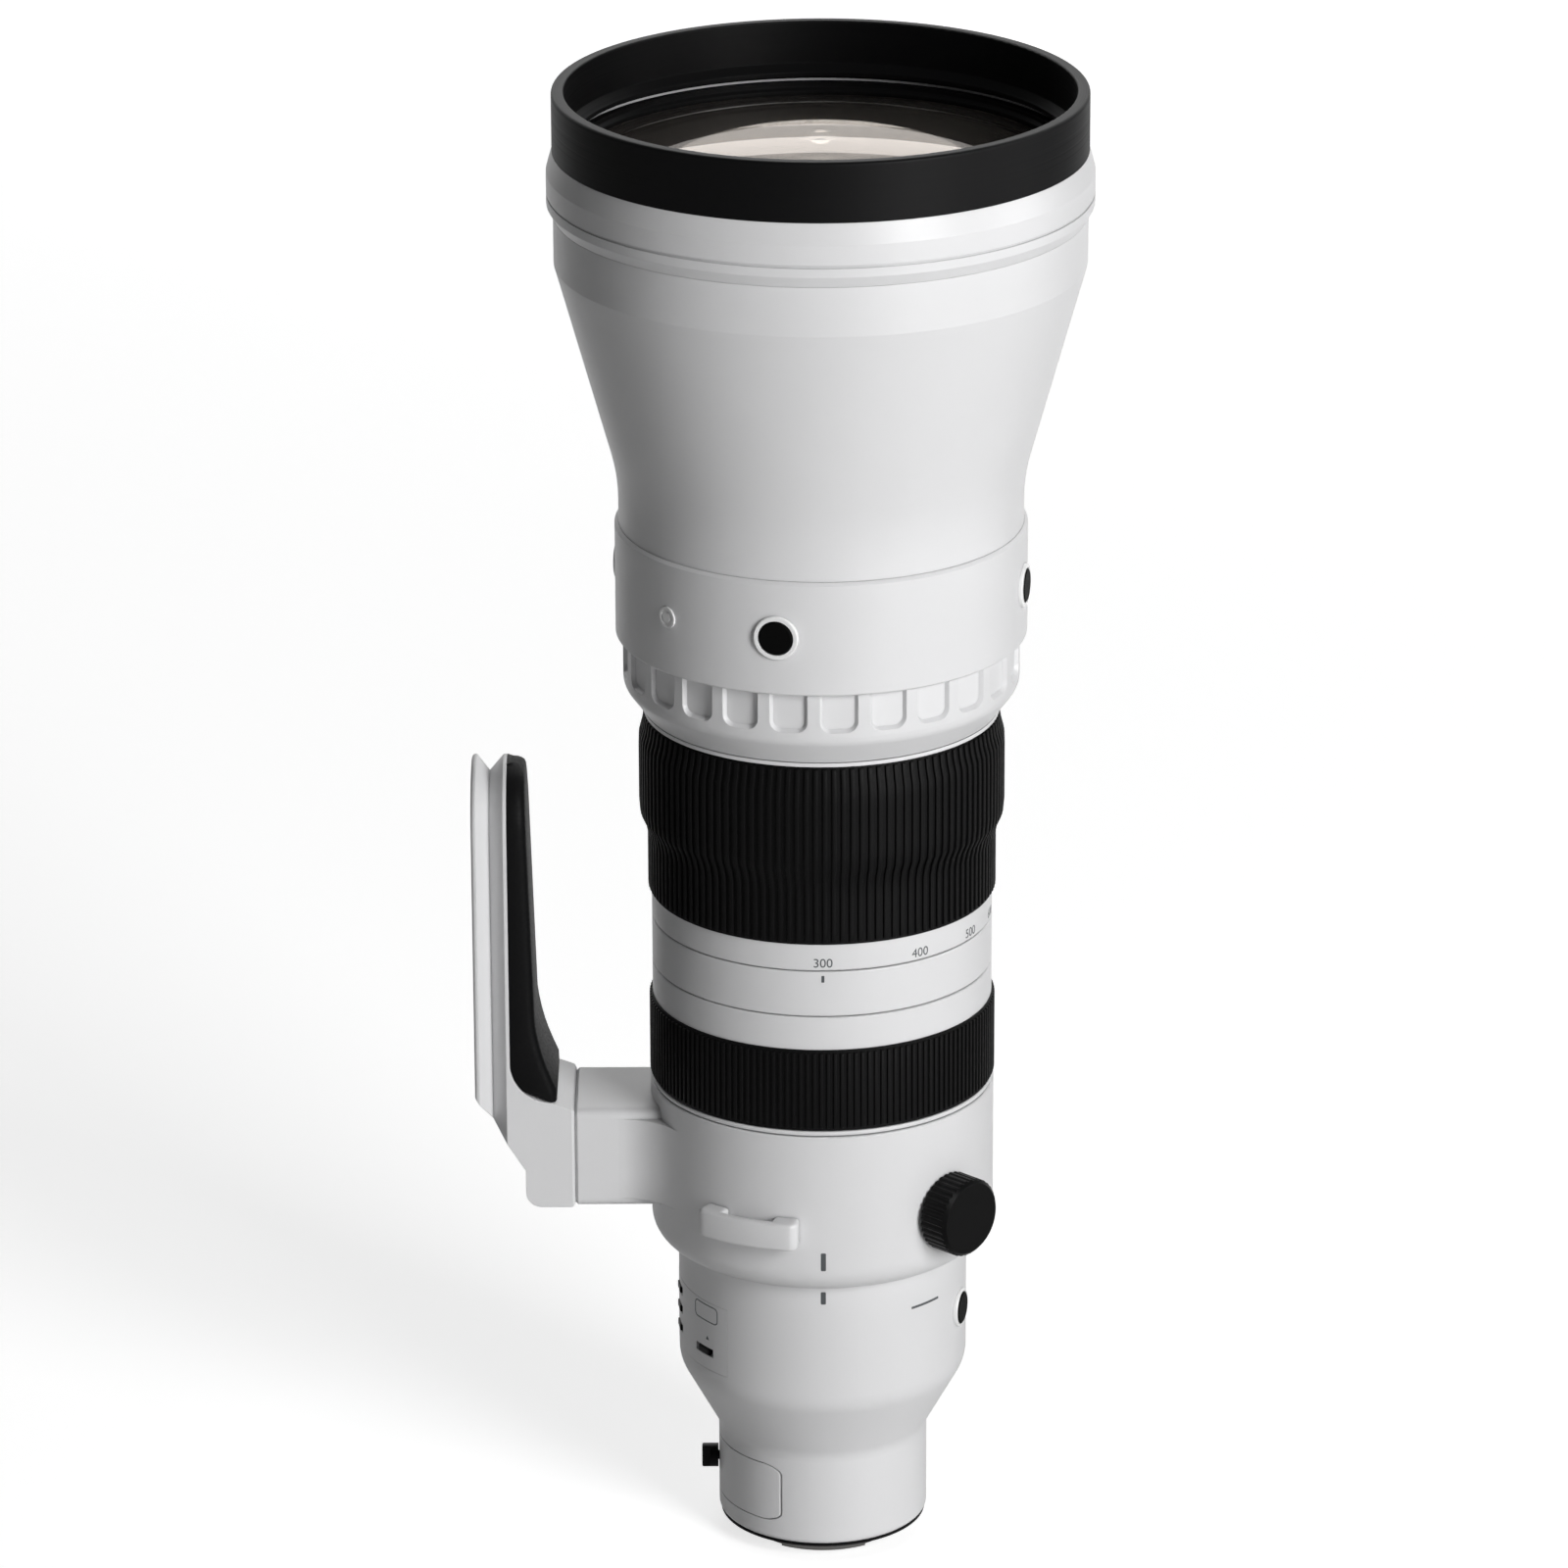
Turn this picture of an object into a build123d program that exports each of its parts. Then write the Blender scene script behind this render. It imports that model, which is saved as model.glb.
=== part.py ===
from build123d import *
from math import cos, degrees, radians, sin, sqrt
import os

os.makedirs("parts", exist_ok=True)

# White super-telephoto zoom lens, standing on its rear mount. Lengths are millimetres.
# Origin: centre of the bayonet's flange face. +Z runs along the optical axis to the front glass.
# Azimuths turn about +Z from the front (-Y) towards +X: the zoom index is at 0, the foot at -90.

# Clearances
joint_gap = 0.3            # between pieces that move against each other
seat_gap = 0.05            # between pieces that are fitted together
pin_gap = 0.05             # radial, round spindles and guide rods
overrun = 4.0              # how far a cut runs past the solid

# Outside sections, stacked along the axis from the flange up
flange_reveal = 0.7        # mount plate that shows under the barrel
rear_neck_length = 30.8
rear_cone_length = 22.5
rear_barrel_length = 42.2
collar_length = 52.9
lip_height = 1.5
focus_grip_length = 26.7
focus_band_length = 10.8
index_band_length = 14.7
scale_band_length = 8.7
zoom_grip_length = 58.5
zoom_rim_height = 1.2
fluted_neck_height = 8.4
fluted_band_height = 15.8
button_ring_length = 36.0
shell_neck_length = 14.8
shell_cone_length = 67.7
shell_bend = 58.0          # round between the neck and the cone
shell_front_length = 15.3
hood_flange_length = 19.7
rim_height = 18.3

# Outside radii
rear_neck_radius = 33.1
rear_barrel_radius = 45.5
collar_radius = 53.8
collar_round = 8.3         # lower edge of the collar
lip_radius = 53.6
focus_grip_radius = 54.0
focus_band_radius = 53.0
index_band_radius = 53.0
scale_band_radius = 53.0
zoom_grip_radius = 56.7
zoom_grip_low_radius = 54.1
zoom_grip_top_radius = 55.0
grip_low_share = 0.27      # of the zoom grip: where its narrow end stops
grip_step_share = 0.44     # where its bulge starts
grip_high_share = 0.8      # and where it ends
grip_bend_share = 0.167    # and the radius of the bends between them
fluted_neck_radius = 55.0
fluted_radius = 61.2
button_ring_radius = 63.4
shell_neck_radius = 62.2
shell_front_radius = 81.0
hood_flange_rise = 2.0      # hood flange over the shell's front
rim_rise = 0.2
edge_round = 0.5           # usual rounding of an outside edge

# Mount
mount_bore_radius = 20.5
mount_plate_radius = 31.0
mount_plate_thickness = 2.2
spigot_radius = 24.0
spigot_length = 5.0
lug_radius = 25.8
lug_height = 2.4
lug_reveal = 0.4           # spigot end that shows under the lugs
lug_sweep = 62.0           # degrees
lug_count = 3
relief_width = 1.2         # groove round the spigot's foot
relief_depth = 0.5
mount_screw_count = 4
mount_screw_azimuth = 45.0
mount_screw_pitch_radius = 28.0
mount_screw_radius = 1.0
mount_screw_head_radius = 1.9
mount_screw_head_height = 1.1
mount_screw_length = 5.0
mount_screw_socket = 0.7
contact_block_inner = 21.3
contact_block_outer = 23.4
contact_block_sweep = 70.0
contact_block_depth = 2.4
contact_recess = 0.5
contact_count = 8
contact_radius = 0.75
contact_rise = 0.25
seal_inner_radius = 31.4
seal_outer_radius = 32.5

# Rear barrel and what it holds
rear_wall = 2.6
rear_floor_thickness = 3.0
rear_floor_bore = 22.5
rear_foot_round = 1.8
rear_cone_bend = 12.0      # rounds at both ends of the rear cone
rear_neck_bend = 8.0
collar_tube_radius = 48.2
collar_tube_wall = 2.6
board_thickness = 1.4
board_width = 8.0
board_rise = 8.0           # above the rear cone
cell_tube_radius = 25.0
cell_tube_wall = 2.6
cell_tube_gap = 3.5        # above the filter drawer
cell_flange_thickness = 3.0
cell_flange_rise = 14.0
rear_lens_edge = 6.0
rear_lens_bulge = 2.5
rear_lens_inset = 8.0
rear_lens_spacing = 17.0

# Drop-in filter drawer, slides out along -X
drawer_height = 19.0
drawer_width = 60.0
drawer_middle = 17.0
drawer_corner = 3.0
holder_thickness = 9.0
holder_radius = 27.0
holder_tongue_width = 40.0
holder_lip = 2.6
filter_radius = 24.0
filter_thickness = 3.0
lock_knob_radius = 3.8
lock_knob_depth = 5.2
lock_wing_width = 3.0
lock_spindle_radius = 1.5

# Image stabiliser: plates nested in one another
ois_drop = 8.2             # below the parting of barrel and collar
ois_base_thickness = 8.0
ois_plate_thickness = 5.0
ois_travel = 1.0
ois_lens_radius = 19.0
ois_frame_side = 46.0
ois_guide_rim = 3.6
ois_lens_edge = 3.6
ois_lens_bulge = 2.0

# Switch panel on the rear barrel, left of the front
panel_low_azimuth = -100.0
panel_high_azimuth = -41.5
panel_rise_from_cone = 5.5
panel_height = 23.0
panel_rise = 0.05
panel_thickness = 1.9
switch_long = 5.4
switch_high = 2.2
switch_rise = 0.4
switch_round = 0.35
switch_travel = 1.6
switch_low_azimuth = -55.3
switch_row_step = -27.0    # degrees to the rear column
switch_inset = 6.0
switch_column_step = 6.5
switch_rear_count = 3

# Round button on the rear barrel and the four on the button ring
rear_button_azimuth = 72.0
rear_button_rise = 20.5    # above the rear cone
rear_button_radius = 5.0
rear_bezel_width = 0.8
button_azimuth = -12.7
button_count = 4
button_height_share = 0.51 # of the button ring
button_radius = 5.15
bezel_width = 1.5
bezel_rise = 0.9
button_travel = 0.8
button_rise = 0.3
button_depth = 5.0
button_flange = 0.9
button_ring_wall = 3.0
plug_azimuth = -47.5
plug_radius = 3.5
plug_eye_radius = 1.5
plug_rise = 0.5

# Tripod collar, clamp, strap lugs
liner_wall = 1.7
clamp_azimuth = 46.0
clamp_rise = 21.5          # above the collar's lower edge
clamp_knob_radius = 12.5
clamp_knob_depth = 9.8
clamp_knob_bevel = 1.2
clamp_knob_notches = 36
clamp_notch_radius = 0.9
clamp_notch_depth = 0.35
clamp_screw_radius = 2.5
shoe_length = 12.0
shoe_height = 10.0
shoe_thickness = 2.2
shoe_retreat = 0.8
strap_azimuth = -26.0
strap_sweep = 36.0
strap_slot_sweep = 15.5
strap_rise = 16.8
strap_height = 9.0
strap_gap = 3.6
strap_bar = 3.0

# Arm and foot, towards -X
arm_half_width = 19.0
arm_rise = 14.9            # above the collar's lower edge
arm_height = 32.8
arm_reach = 77.5
arm_round = 3.0
seam_chamfer = 0.8         # where the arm and the foot meet
arm_flare = 10.0           # how far the arm widens where it meets the hoop
foot_outer = 108.5
foot_heel = 93.0
foot_heel_round = 5.0
foot_heel_height = 12.4
foot_slope_height = 24.5
foot_toe_rise = 2.5        # foot above the arm, where the pad starts
rail_inner = 97.5
foot_height = 143.5
rail_bend = 13.0
rail_round = 1.2
rail_groove_root = 103.0
rail_groove_outer = 107.0
rail_groove_inner = 98.6
rail_groove_depth = 5.0
pad_toe = 83.0
pad_top_inner = 92.0
pad_waist_inner = 89.5
pad_waist_rise = 60.6      # heights on the foot count from its heel
pad_round = 4.0
pad_toe_height = 3.5
pad_notch_radius = 1.3
pad_notch_pitch = 28.5
pad_notch_rise = 60.1
pad_notch_count = 3
pad_sway = 0.8             # how far its hand side is hollowed
foot_screw_radius = 2.5
foot_screw_head_radius = 4.2
foot_screw_head_height = 4.0
foot_screw_socket = 2.0
foot_screw_spacing = 20.0
foot_screw_rise = 17.0
foot_screw_engagement = 12.0
foot_screw_cover = 8.0
tripod_hole_large = 4.0    # wall of a 3/8 inch thread
tripod_hole_small = 2.6    # wall of a 1/4 inch thread
tripod_hole_depth = 7.5
tripod_hole_rise = 83.6
tripod_hole_spacing = 24.0
stop_screw_radius = 1.5
stop_screw_length = 5.0
stop_screw_socket = 0.75
stop_screw_inset = 8.0

# Barrels inside the focus and zoom rings
ring_wall = 3.2
grip_thickness = 2.7
main_barrel_wall = 2.4
cam_barrel_wall = 2.3
guide_barrel_wall = 2.3
guide_flange_height = 3.5
guide_drop = 8.0           # flange below the index band's top
cam_barrel_length = 80.0
cam_slot_steps = 10
zoom_turn = 79.5           # degrees from 300 to 600
key_width = 6.0
key_height = 4.4
follower_radius = 2.9
follower_gap = 0.2
follower_count = 3
variator_travel = 22.0
variator_rise = 68.2       # above the cam barrel's lower end
variator_azimuth = 30.0
compensator_travel = 12.0
compensator_rise = 24.2
compensator_azimuth = 90.0
carrier_wall = 3.4
carrier_length = 22.0
carrier_lens_edge = 7.0
carrier_lens_bulge = 3.2
carrier_lip = 1.6

# Iris and focus group
iris_drop = 12.0           # below the guide barrel
iris_plate_thickness = 3.0
iris_bore = 21.0
iris_blade_count = 9
iris_blade_thickness = 0.3
iris_blade_width = 9.0
iris_opening = 19.0
iris_blade_sweep = 100.0
rod_radius = 1.5
rod_offset = 36.0
focus_travel = 30.0
focus_near_margin = 32.6   # magnets below the group at its near end
focus_lens_radius = 24.0
focus_lens_edge = 5.0
focus_lens_bulge = 2.6
focus_ring_wall = 3.2
focus_carrier_length = 12.0
bush_wall = 2.6
coil_length = 14.0
coil_width = 16.0
coil_thickness = 2.2
magnet_thickness = 3.0
magnet_width = 18.0
magnet_clearance = 0.8

# Front group
shell_wall = 2.5
cell_wall = 3.4
front_cell_gap = 0.6       # between the lens cell and the shell
front_lens_edge = 6.0
front_lens_bulge = 9.0
front_lens_hollow = 6.0
front_lens_drop = 23.0     # glass edge below the front rim
second_lens_step = 6.5     # smaller than the front element by this
second_lens_edge = 5.0
second_lens_bulge = 7.0
second_lens_drop = 30.0
third_lens_step = 8.0
third_lens_edge = 6.0
third_lens_bulge = 6.0
third_lens_drop = 22.0
retaining_ring_width = 3.0
retaining_ring_height = 4.0
retaining_overlap = 0.6    # how far the ring holds the glass
retaining_lip = 1.5
rim_wall = 3.8
rim_well_depth = 13.4      # from the front face to the bevel
rim_throat_wall = 6.2      # rim below the bevel
rim_bevel = 2.4
rim_lip = 1.2
flange_land = 3.5           # bevels at both ends of the hood flange
flange_slope = 6.4
flange_groove_rise = 3.2
groove_width = 0.8
groove_depth = 0.4
flute_count = 25
flute_azimuth = 4.7
flute_width = 11.6
flute_depth = 1.6
flute_height = 13.0
flute_round = 2.6
flute_taper = 30.0         # degrees

# Heights and inner radii that follow
barrel_bottom = flange_reveal
neck_top = barrel_bottom + rear_neck_length
cone_top = neck_top + rear_cone_length
parting = cone_top + rear_barrel_length
collar_bottom = parting + joint_gap
collar_top = collar_bottom + collar_length
lip_bottom = collar_top + joint_gap
lip_top = lip_bottom + lip_height
focus_bottom = lip_top + joint_gap
focus_band_bottom = focus_bottom + focus_grip_length
focus_top = focus_band_bottom + focus_band_length
index_bottom = focus_top + joint_gap
index_top = index_bottom + index_band_length
zoom_bottom = index_top + joint_gap
zoom_grip_bottom = zoom_bottom + scale_band_length
zoom_grip_top = zoom_grip_bottom + zoom_grip_length
zoom_top = zoom_grip_top + zoom_rim_height
fluted_bottom = zoom_top + joint_gap
fluted_band_bottom = fluted_bottom + fluted_neck_height
fluted_top = fluted_band_bottom + fluted_band_height
button_ring_top = fluted_top + button_ring_length
shell_neck_top = button_ring_top + shell_neck_length
shell_cone_top = shell_neck_top + shell_cone_length
shell_top = shell_cone_top + shell_front_length
hood_flange_top = shell_top + hood_flange_length
front_face = hood_flange_top + rim_height
hood_flange_radius = shell_front_radius + hood_flange_rise
rim_radius = shell_front_radius + rim_rise
front_lens_radius = shell_front_radius - shell_wall - front_cell_gap - cell_wall
second_lens_radius = front_lens_radius - second_lens_step
third_lens_radius = second_lens_radius - third_lens_step

# Places of the pieces that stand on the rear barrel and on the collar
ois_height = parting - ois_drop
board_height = cone_top + board_rise
cell_flange_height = cone_top + cell_flange_rise
cell_tube_bottom = drawer_middle + drawer_height / 2 + cell_tube_gap
rear_lens_first = cell_tube_bottom + rear_lens_inset
rear_lens_second = rear_lens_first + rear_lens_spacing
panel_bottom = cone_top + panel_rise_from_cone
switch_low_height = panel_bottom + switch_inset
rear_button_height = cone_top + rear_button_rise
clamp_height = collar_bottom + clamp_rise
strap_bottom = collar_bottom + strap_rise
arm_bottom = collar_bottom + arm_rise
rail_top = arm_bottom + foot_height
pad_waist_height = arm_bottom + pad_waist_rise
pad_notch_first = arm_bottom + pad_notch_rise
foot_screw_height = arm_bottom + foot_screw_rise
tripod_hole_height = arm_bottom + tripod_hole_rise
guide_bottom = index_top - guide_drop
cam_bottom = guide_bottom + guide_flange_height + joint_gap
variator_height = cam_bottom + variator_rise
compensator_height = cam_bottom + compensator_rise
iris_height = guide_bottom - iris_drop

main_barrel_radius = scale_band_radius - ring_wall - joint_gap
main_barrel_bore = main_barrel_radius - main_barrel_wall
ring_bore = main_barrel_radius + joint_gap
grip_seat_radius = zoom_grip_low_radius - grip_thickness
cam_outer = main_barrel_bore - joint_gap
cam_bore = cam_outer - cam_barrel_wall
guide_outer = cam_bore - joint_gap
guide_bore = guide_outer - guide_barrel_wall
carrier_radius = guide_bore - joint_gap
rear_bore = rear_barrel_radius - rear_wall
neck_bore = rear_neck_radius - rear_wall
collar_tube_bore = collar_tube_radius - collar_tube_wall
liner_bore = collar_tube_radius + joint_gap
collar_bore = liner_bore + liner_wall


def around(azimuth, radius, height):
    # Point at an azimuth, a radius and a height
    return (radius * sin(radians(azimuth)), -radius * cos(radians(azimuth)), height)


def facing(azimuth, radius, height):
    # Plane that looks outwards: its x follows the azimuth, its y the optical axis
    outward = (sin(radians(azimuth)), -cos(radians(azimuth)), 0)
    along = (cos(radians(azimuth)), sin(radians(azimuth)), 0)
    return Plane(origin=around(azimuth, radius, height), x_dir=along, z_dir=outward)


def meridian(azimuth):
    # Half-plane through the axis: its x is the radius and its y the height
    outward = (sin(radians(azimuth)), -cos(radians(azimuth)), 0)
    across = (-cos(radians(azimuth)), -sin(radians(azimuth)), 0)
    return Plane(origin=(0, 0, 0), x_dir=outward, z_dir=across)


def turn(points, rounds=(), mode=Mode.ADD):
    # Solid of revolution from (radius, height) points; rounds pairs a corner with its radius
    with BuildSketch(Plane.XZ) as section:
        with BuildLine():
            Polyline(*points, close=True)
        make_face()
        for corner, size in rounds:
            fillet(section.vertices().sort_by_distance((*corner, 0))[0], size)
    revolve(section.sketch, axis=Axis.Z, mode=mode)


def turn_ring(inner, outer, bottom, top, soften=0, mode=Mode.ADD):
    # Plain ring of rectangular section, with its four edges softened
    corners = [(inner, bottom), (outer, bottom), (outer, top), (inner, top)]
    turn(corners, [(corner, soften) for corner in corners] if soften else (), mode)


def turn_sector(corners, first, last, mode=Mode.ADD):
    # Part of a ring between two azimuths, from (radius, height) corners
    with BuildSketch(meridian(first)) as section:
        with BuildLine():
            Polyline(*corners, close=True)
        make_face()
    revolve(section.sketch, axis=Axis.Z, revolution_arc=last - first, mode=mode)


def turn_lens(radius, edge_low, edge_high, bulge_low, bulge_high):
    # Lens with spherical faces; a positive bulge stands out and a negative one is hollow
    with BuildSketch(Plane.XZ) as section:
        with BuildLine():
            high_apex = (0, edge_high + bulge_high)
            low_apex = (0, edge_low - bulge_low)
            TangentArc(high_apex, (radius, edge_high), tangent=(1, 0))
            Line((radius, edge_high), (radius, edge_low))
            TangentArc(low_apex, (radius, edge_low), tangent=(1, 0))
            Line(low_apex, high_apex)
        make_face()
    revolve(section.sketch, axis=Axis.Z)


def stud(azimuth, height, radius, inner, outer, mode=Mode.ADD):
    # Round piece that stands radially between two radii
    with BuildSketch(facing(azimuth, inner, height)) as section:
        Circle(radius)
    extrude(section.sketch, amount=outer - inner, mode=mode)


def block(azimuth, height, along, high, inner, outer, mode=Mode.ADD):
    # Square-cornered piece that stands radially between two radii
    with BuildSketch(facing(azimuth, inner, height)) as section:
        Rectangle(along, high)
    extrude(section.sketch, amount=outer - inner, mode=mode)


def save(piece, label):
    piece.part.label = label
    export_step(piece.part, "parts/" + label + ".step")


# Rear barrel: neck, cone, straight part and the tube that carries the collar
drawer_bottom = drawer_middle - drawer_height / 2
floor_bottom = mount_plate_thickness + seat_gap
floor_top = floor_bottom + rear_floor_thickness

with BuildPart() as rear_barrel:
    turn(
        [
            (mount_plate_radius + seat_gap, floor_bottom),
            (mount_plate_radius + seat_gap, barrel_bottom),
            (rear_neck_radius, barrel_bottom),
            (rear_neck_radius, neck_top),
            (rear_barrel_radius, cone_top),
            (rear_barrel_radius, parting),
            (collar_tube_radius, parting),
            (collar_tube_radius, lip_bottom),
            (collar_tube_bore, lip_bottom),
            (collar_tube_bore, parting + rear_wall),
            (rear_bore, parting),
            (rear_bore, cone_top + rear_wall / 2),
            (neck_bore, neck_top + rear_wall / 2),
            (neck_bore, floor_top),
            (rear_floor_bore, floor_top),
            (rear_floor_bore, floor_bottom),
        ],
        [
            ((rear_neck_radius, barrel_bottom), rear_foot_round),
            ((rear_barrel_radius, cone_top), rear_cone_bend),
            ((rear_neck_radius, neck_top), rear_neck_bend),
        ],
    )
    # Window for the filter drawer
    with BuildSketch(Plane.YZ) as window:
        with Locations((0, drawer_middle)):
            RectangleRounded(
                drawer_width + 2 * joint_gap, drawer_height + 2 * joint_gap, drawer_corner + joint_gap
            )
    extrude(window.sketch, amount=-(rear_neck_radius + overrun), mode=Mode.SUBTRACT)
    # Recess for the switch panel, and the well behind its knobs
    panel_top = panel_bottom + panel_height
    panel_inner = rear_barrel_radius + panel_rise - panel_thickness
    turn_sector(
        [
            (panel_inner - seat_gap, panel_bottom - seat_gap),
            (rear_barrel_radius + overrun, panel_bottom - seat_gap),
            (rear_barrel_radius + overrun, panel_top + seat_gap),
            (panel_inner - seat_gap, panel_top + seat_gap),
        ],
        panel_low_azimuth,
        panel_high_azimuth,
        mode=Mode.SUBTRACT,
    )
    stud(rear_button_azimuth, rear_button_height, rear_button_radius + joint_gap,
         rear_bore - overrun, rear_barrel_radius + overrun, Mode.SUBTRACT)
    with BuildSketch(Plane.XY.offset(floor_bottom - overrun)) as screw_holes:
        with PolarLocations(mount_screw_pitch_radius, mount_screw_count, start_angle=mount_screw_azimuth):
            Circle(mount_screw_radius + seat_gap)
    extrude(screw_holes.sketch, amount=mount_screw_length + overrun, mode=Mode.SUBTRACT)
save(rear_barrel, "rear_barrel")

# Bayonet: plate, spigot and lugs in one piece, with a relief groove round the spigot
lug_top = -spigot_length + lug_reveal + lug_height
lug_bottom = -spigot_length + lug_reveal
contact_top = contact_block_depth - spigot_length
with BuildPart() as mount_ring:
    turn(
        [
            (mount_bore_radius, -spigot_length),
            (spigot_radius, -spigot_length),
            (spigot_radius, relief_depth),
            (lug_radius + relief_width, relief_depth),
            (lug_radius + relief_width, 0),
            (mount_plate_radius, 0),
            (mount_plate_radius, mount_plate_thickness),
            (mount_bore_radius, mount_plate_thickness),
        ],
    )
    for lug in range(lug_count):
        middle = lug * 360 / lug_count
        lug_corners = [
            (spigot_radius - relief_width, lug_bottom),
            (lug_radius, lug_bottom),
            (lug_radius, lug_top),
            (spigot_radius - relief_width, lug_top),
        ]
        turn_sector(lug_corners, middle - lug_sweep / 2, middle + lug_sweep / 2)
    turn_sector(
        [
            (contact_block_inner - seat_gap, -spigot_length - overrun),
            (contact_block_outer + seat_gap, -spigot_length - overrun),
            (contact_block_outer + seat_gap, contact_top + seat_gap),
            (contact_block_inner - seat_gap, contact_top + seat_gap),
        ],
        -contact_block_sweep / 2,
        contact_block_sweep / 2,
        mode=Mode.SUBTRACT,
    )
    with BuildSketch(Plane.XY.offset(-overrun)) as shanks:
        with PolarLocations(mount_screw_pitch_radius, mount_screw_count, start_angle=mount_screw_azimuth):
            Circle(mount_screw_radius + seat_gap)
    extrude(shanks.sketch, amount=mount_plate_thickness + 2 * overrun, mode=Mode.SUBTRACT)
    with BuildSketch(Plane.XY.offset(-overrun)) as heads:
        with PolarLocations(mount_screw_pitch_radius, mount_screw_count, start_angle=mount_screw_azimuth):
            Circle(mount_screw_head_radius + seat_gap)
    extrude(heads.sketch, amount=mount_screw_head_height + seat_gap + overrun, mode=Mode.SUBTRACT)
save(mount_ring, "mount_ring")

with BuildPart() as mount_screws:
    with BuildSketch(Plane.XY.offset(seat_gap)) as heads:
        with PolarLocations(mount_screw_pitch_radius, mount_screw_count, start_angle=mount_screw_azimuth):
            Circle(mount_screw_head_radius)
            RegularPolygon(mount_screw_socket, 4, mode=Mode.SUBTRACT)
    extrude(heads.sketch, amount=mount_screw_head_height)
    with BuildSketch(Plane.XY.offset(mount_screw_head_height / 2)) as shanks:
        with PolarLocations(mount_screw_pitch_radius, mount_screw_count, start_angle=mount_screw_azimuth):
            Circle(mount_screw_radius)
    extrude(shanks.sketch, amount=mount_screw_length - mount_screw_head_height)
save(mount_screws, "mount_screws")

contact_face = contact_recess - spigot_length
with BuildPart() as contact_block:
    turn_sector(
        [
            (contact_block_inner, contact_face),
            (contact_block_outer, contact_face),
            (contact_block_outer, contact_top),
            (contact_block_inner, contact_top),
        ],
        seat_gap - contact_block_sweep / 2,
        contact_block_sweep / 2 - seat_gap,
    )
    # Gold pins moulded into the block, a little behind the spigot's end
    contact_step = contact_block_sweep / (contact_count + 1)
    with BuildSketch(Plane.XY.offset(contact_face)) as pins:
        for pin in range(contact_count):
            azimuth = (pin + 1) * contact_step - contact_block_sweep / 2
            with Locations(around(azimuth, (contact_block_inner + contact_block_outer) / 2, 0)):
                Circle(contact_radius)
    extrude(pins.sketch, amount=-contact_rise)
save(contact_block, "contact_block")

with BuildPart() as rear_seal:
    turn_ring(seal_inner_radius, seal_outer_radius, 0, barrel_bottom)
save(rear_seal, "rear_seal")

with BuildPart() as main_circuit_board:
    board_outer = rear_bore - seat_gap
    turn_ring(board_outer - board_width, board_outer, board_height, board_height + board_thickness)
save(main_circuit_board, "main_circuit_board")

# Rear lens cell hangs from a flange inside the rear barrel
cell_tube_bore = cell_tube_radius - cell_tube_wall
cell_flange_top = cell_flange_height + cell_flange_thickness
with BuildPart() as rear_lens_cell:
    turn(
        [
            (cell_tube_bore, cell_tube_bottom),
            (cell_tube_radius, cell_tube_bottom),
            (cell_tube_radius, cell_flange_height),
            (rear_bore - seat_gap, cell_flange_height),
            (rear_bore - seat_gap, cell_flange_top),
            (cell_tube_bore, cell_flange_top),
        ]
    )
save(rear_lens_cell, "rear_lens_cell")

with BuildPart() as rear_elements:
    for low in (rear_lens_first, rear_lens_second):
        turn_lens(cell_tube_bore - seat_gap, low, low + rear_lens_edge, rear_lens_bulge, rear_lens_bulge)
save(rear_elements, "rear_elements")

# Filter drawer: a door that is part of the barrel's skin, with a round holder behind it
holder_bottom = drawer_middle - holder_thickness / 2
with BuildPart() as filter_holder:
    turn_ring(neck_bore, rear_neck_radius, drawer_bottom - overrun, drawer_bottom + drawer_height + overrun)
    with BuildSketch(Plane.YZ) as door:
        with Locations((0, drawer_middle)):
            RectangleRounded(drawer_width, drawer_height, drawer_corner)
    extrude(door.sketch, amount=-(rear_neck_radius + overrun), mode=Mode.INTERSECT)
    with BuildSketch(Plane.XY.offset(holder_bottom)) as holder:
        Circle((neck_bore + rear_neck_radius) / 2)
        with Locations((-rear_neck_radius / 2, 0)):
            Rectangle(rear_neck_radius, holder_tongue_width, mode=Mode.INTERSECT)
        Circle(holder_radius)
    extrude(holder.sketch, amount=holder_thickness)
    with BuildSketch(Plane.XY.offset(holder_bottom)) as light_way:
        Circle(filter_radius - holder_lip)
    extrude(light_way.sketch, amount=holder_thickness, mode=Mode.SUBTRACT)
    with BuildSketch(Plane.XY.offset(holder_bottom + holder_lip)) as seat:
        Circle(filter_radius + seat_gap)
    extrude(seat.sketch, amount=holder_thickness, mode=Mode.SUBTRACT)
    stud(-90, drawer_middle, lock_spindle_radius + pin_gap, filter_radius + holder_lip / 2,
         rear_neck_radius + overrun, Mode.SUBTRACT)
save(filter_holder, "filter_holder")

with BuildPart() as drop_in_filter:
    with BuildSketch(Plane.XY.offset(holder_bottom + holder_lip)) as disc:
        Circle(filter_radius)
    extrude(disc.sketch, amount=filter_thickness)
save(drop_in_filter, "drop_in_filter")

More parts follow.
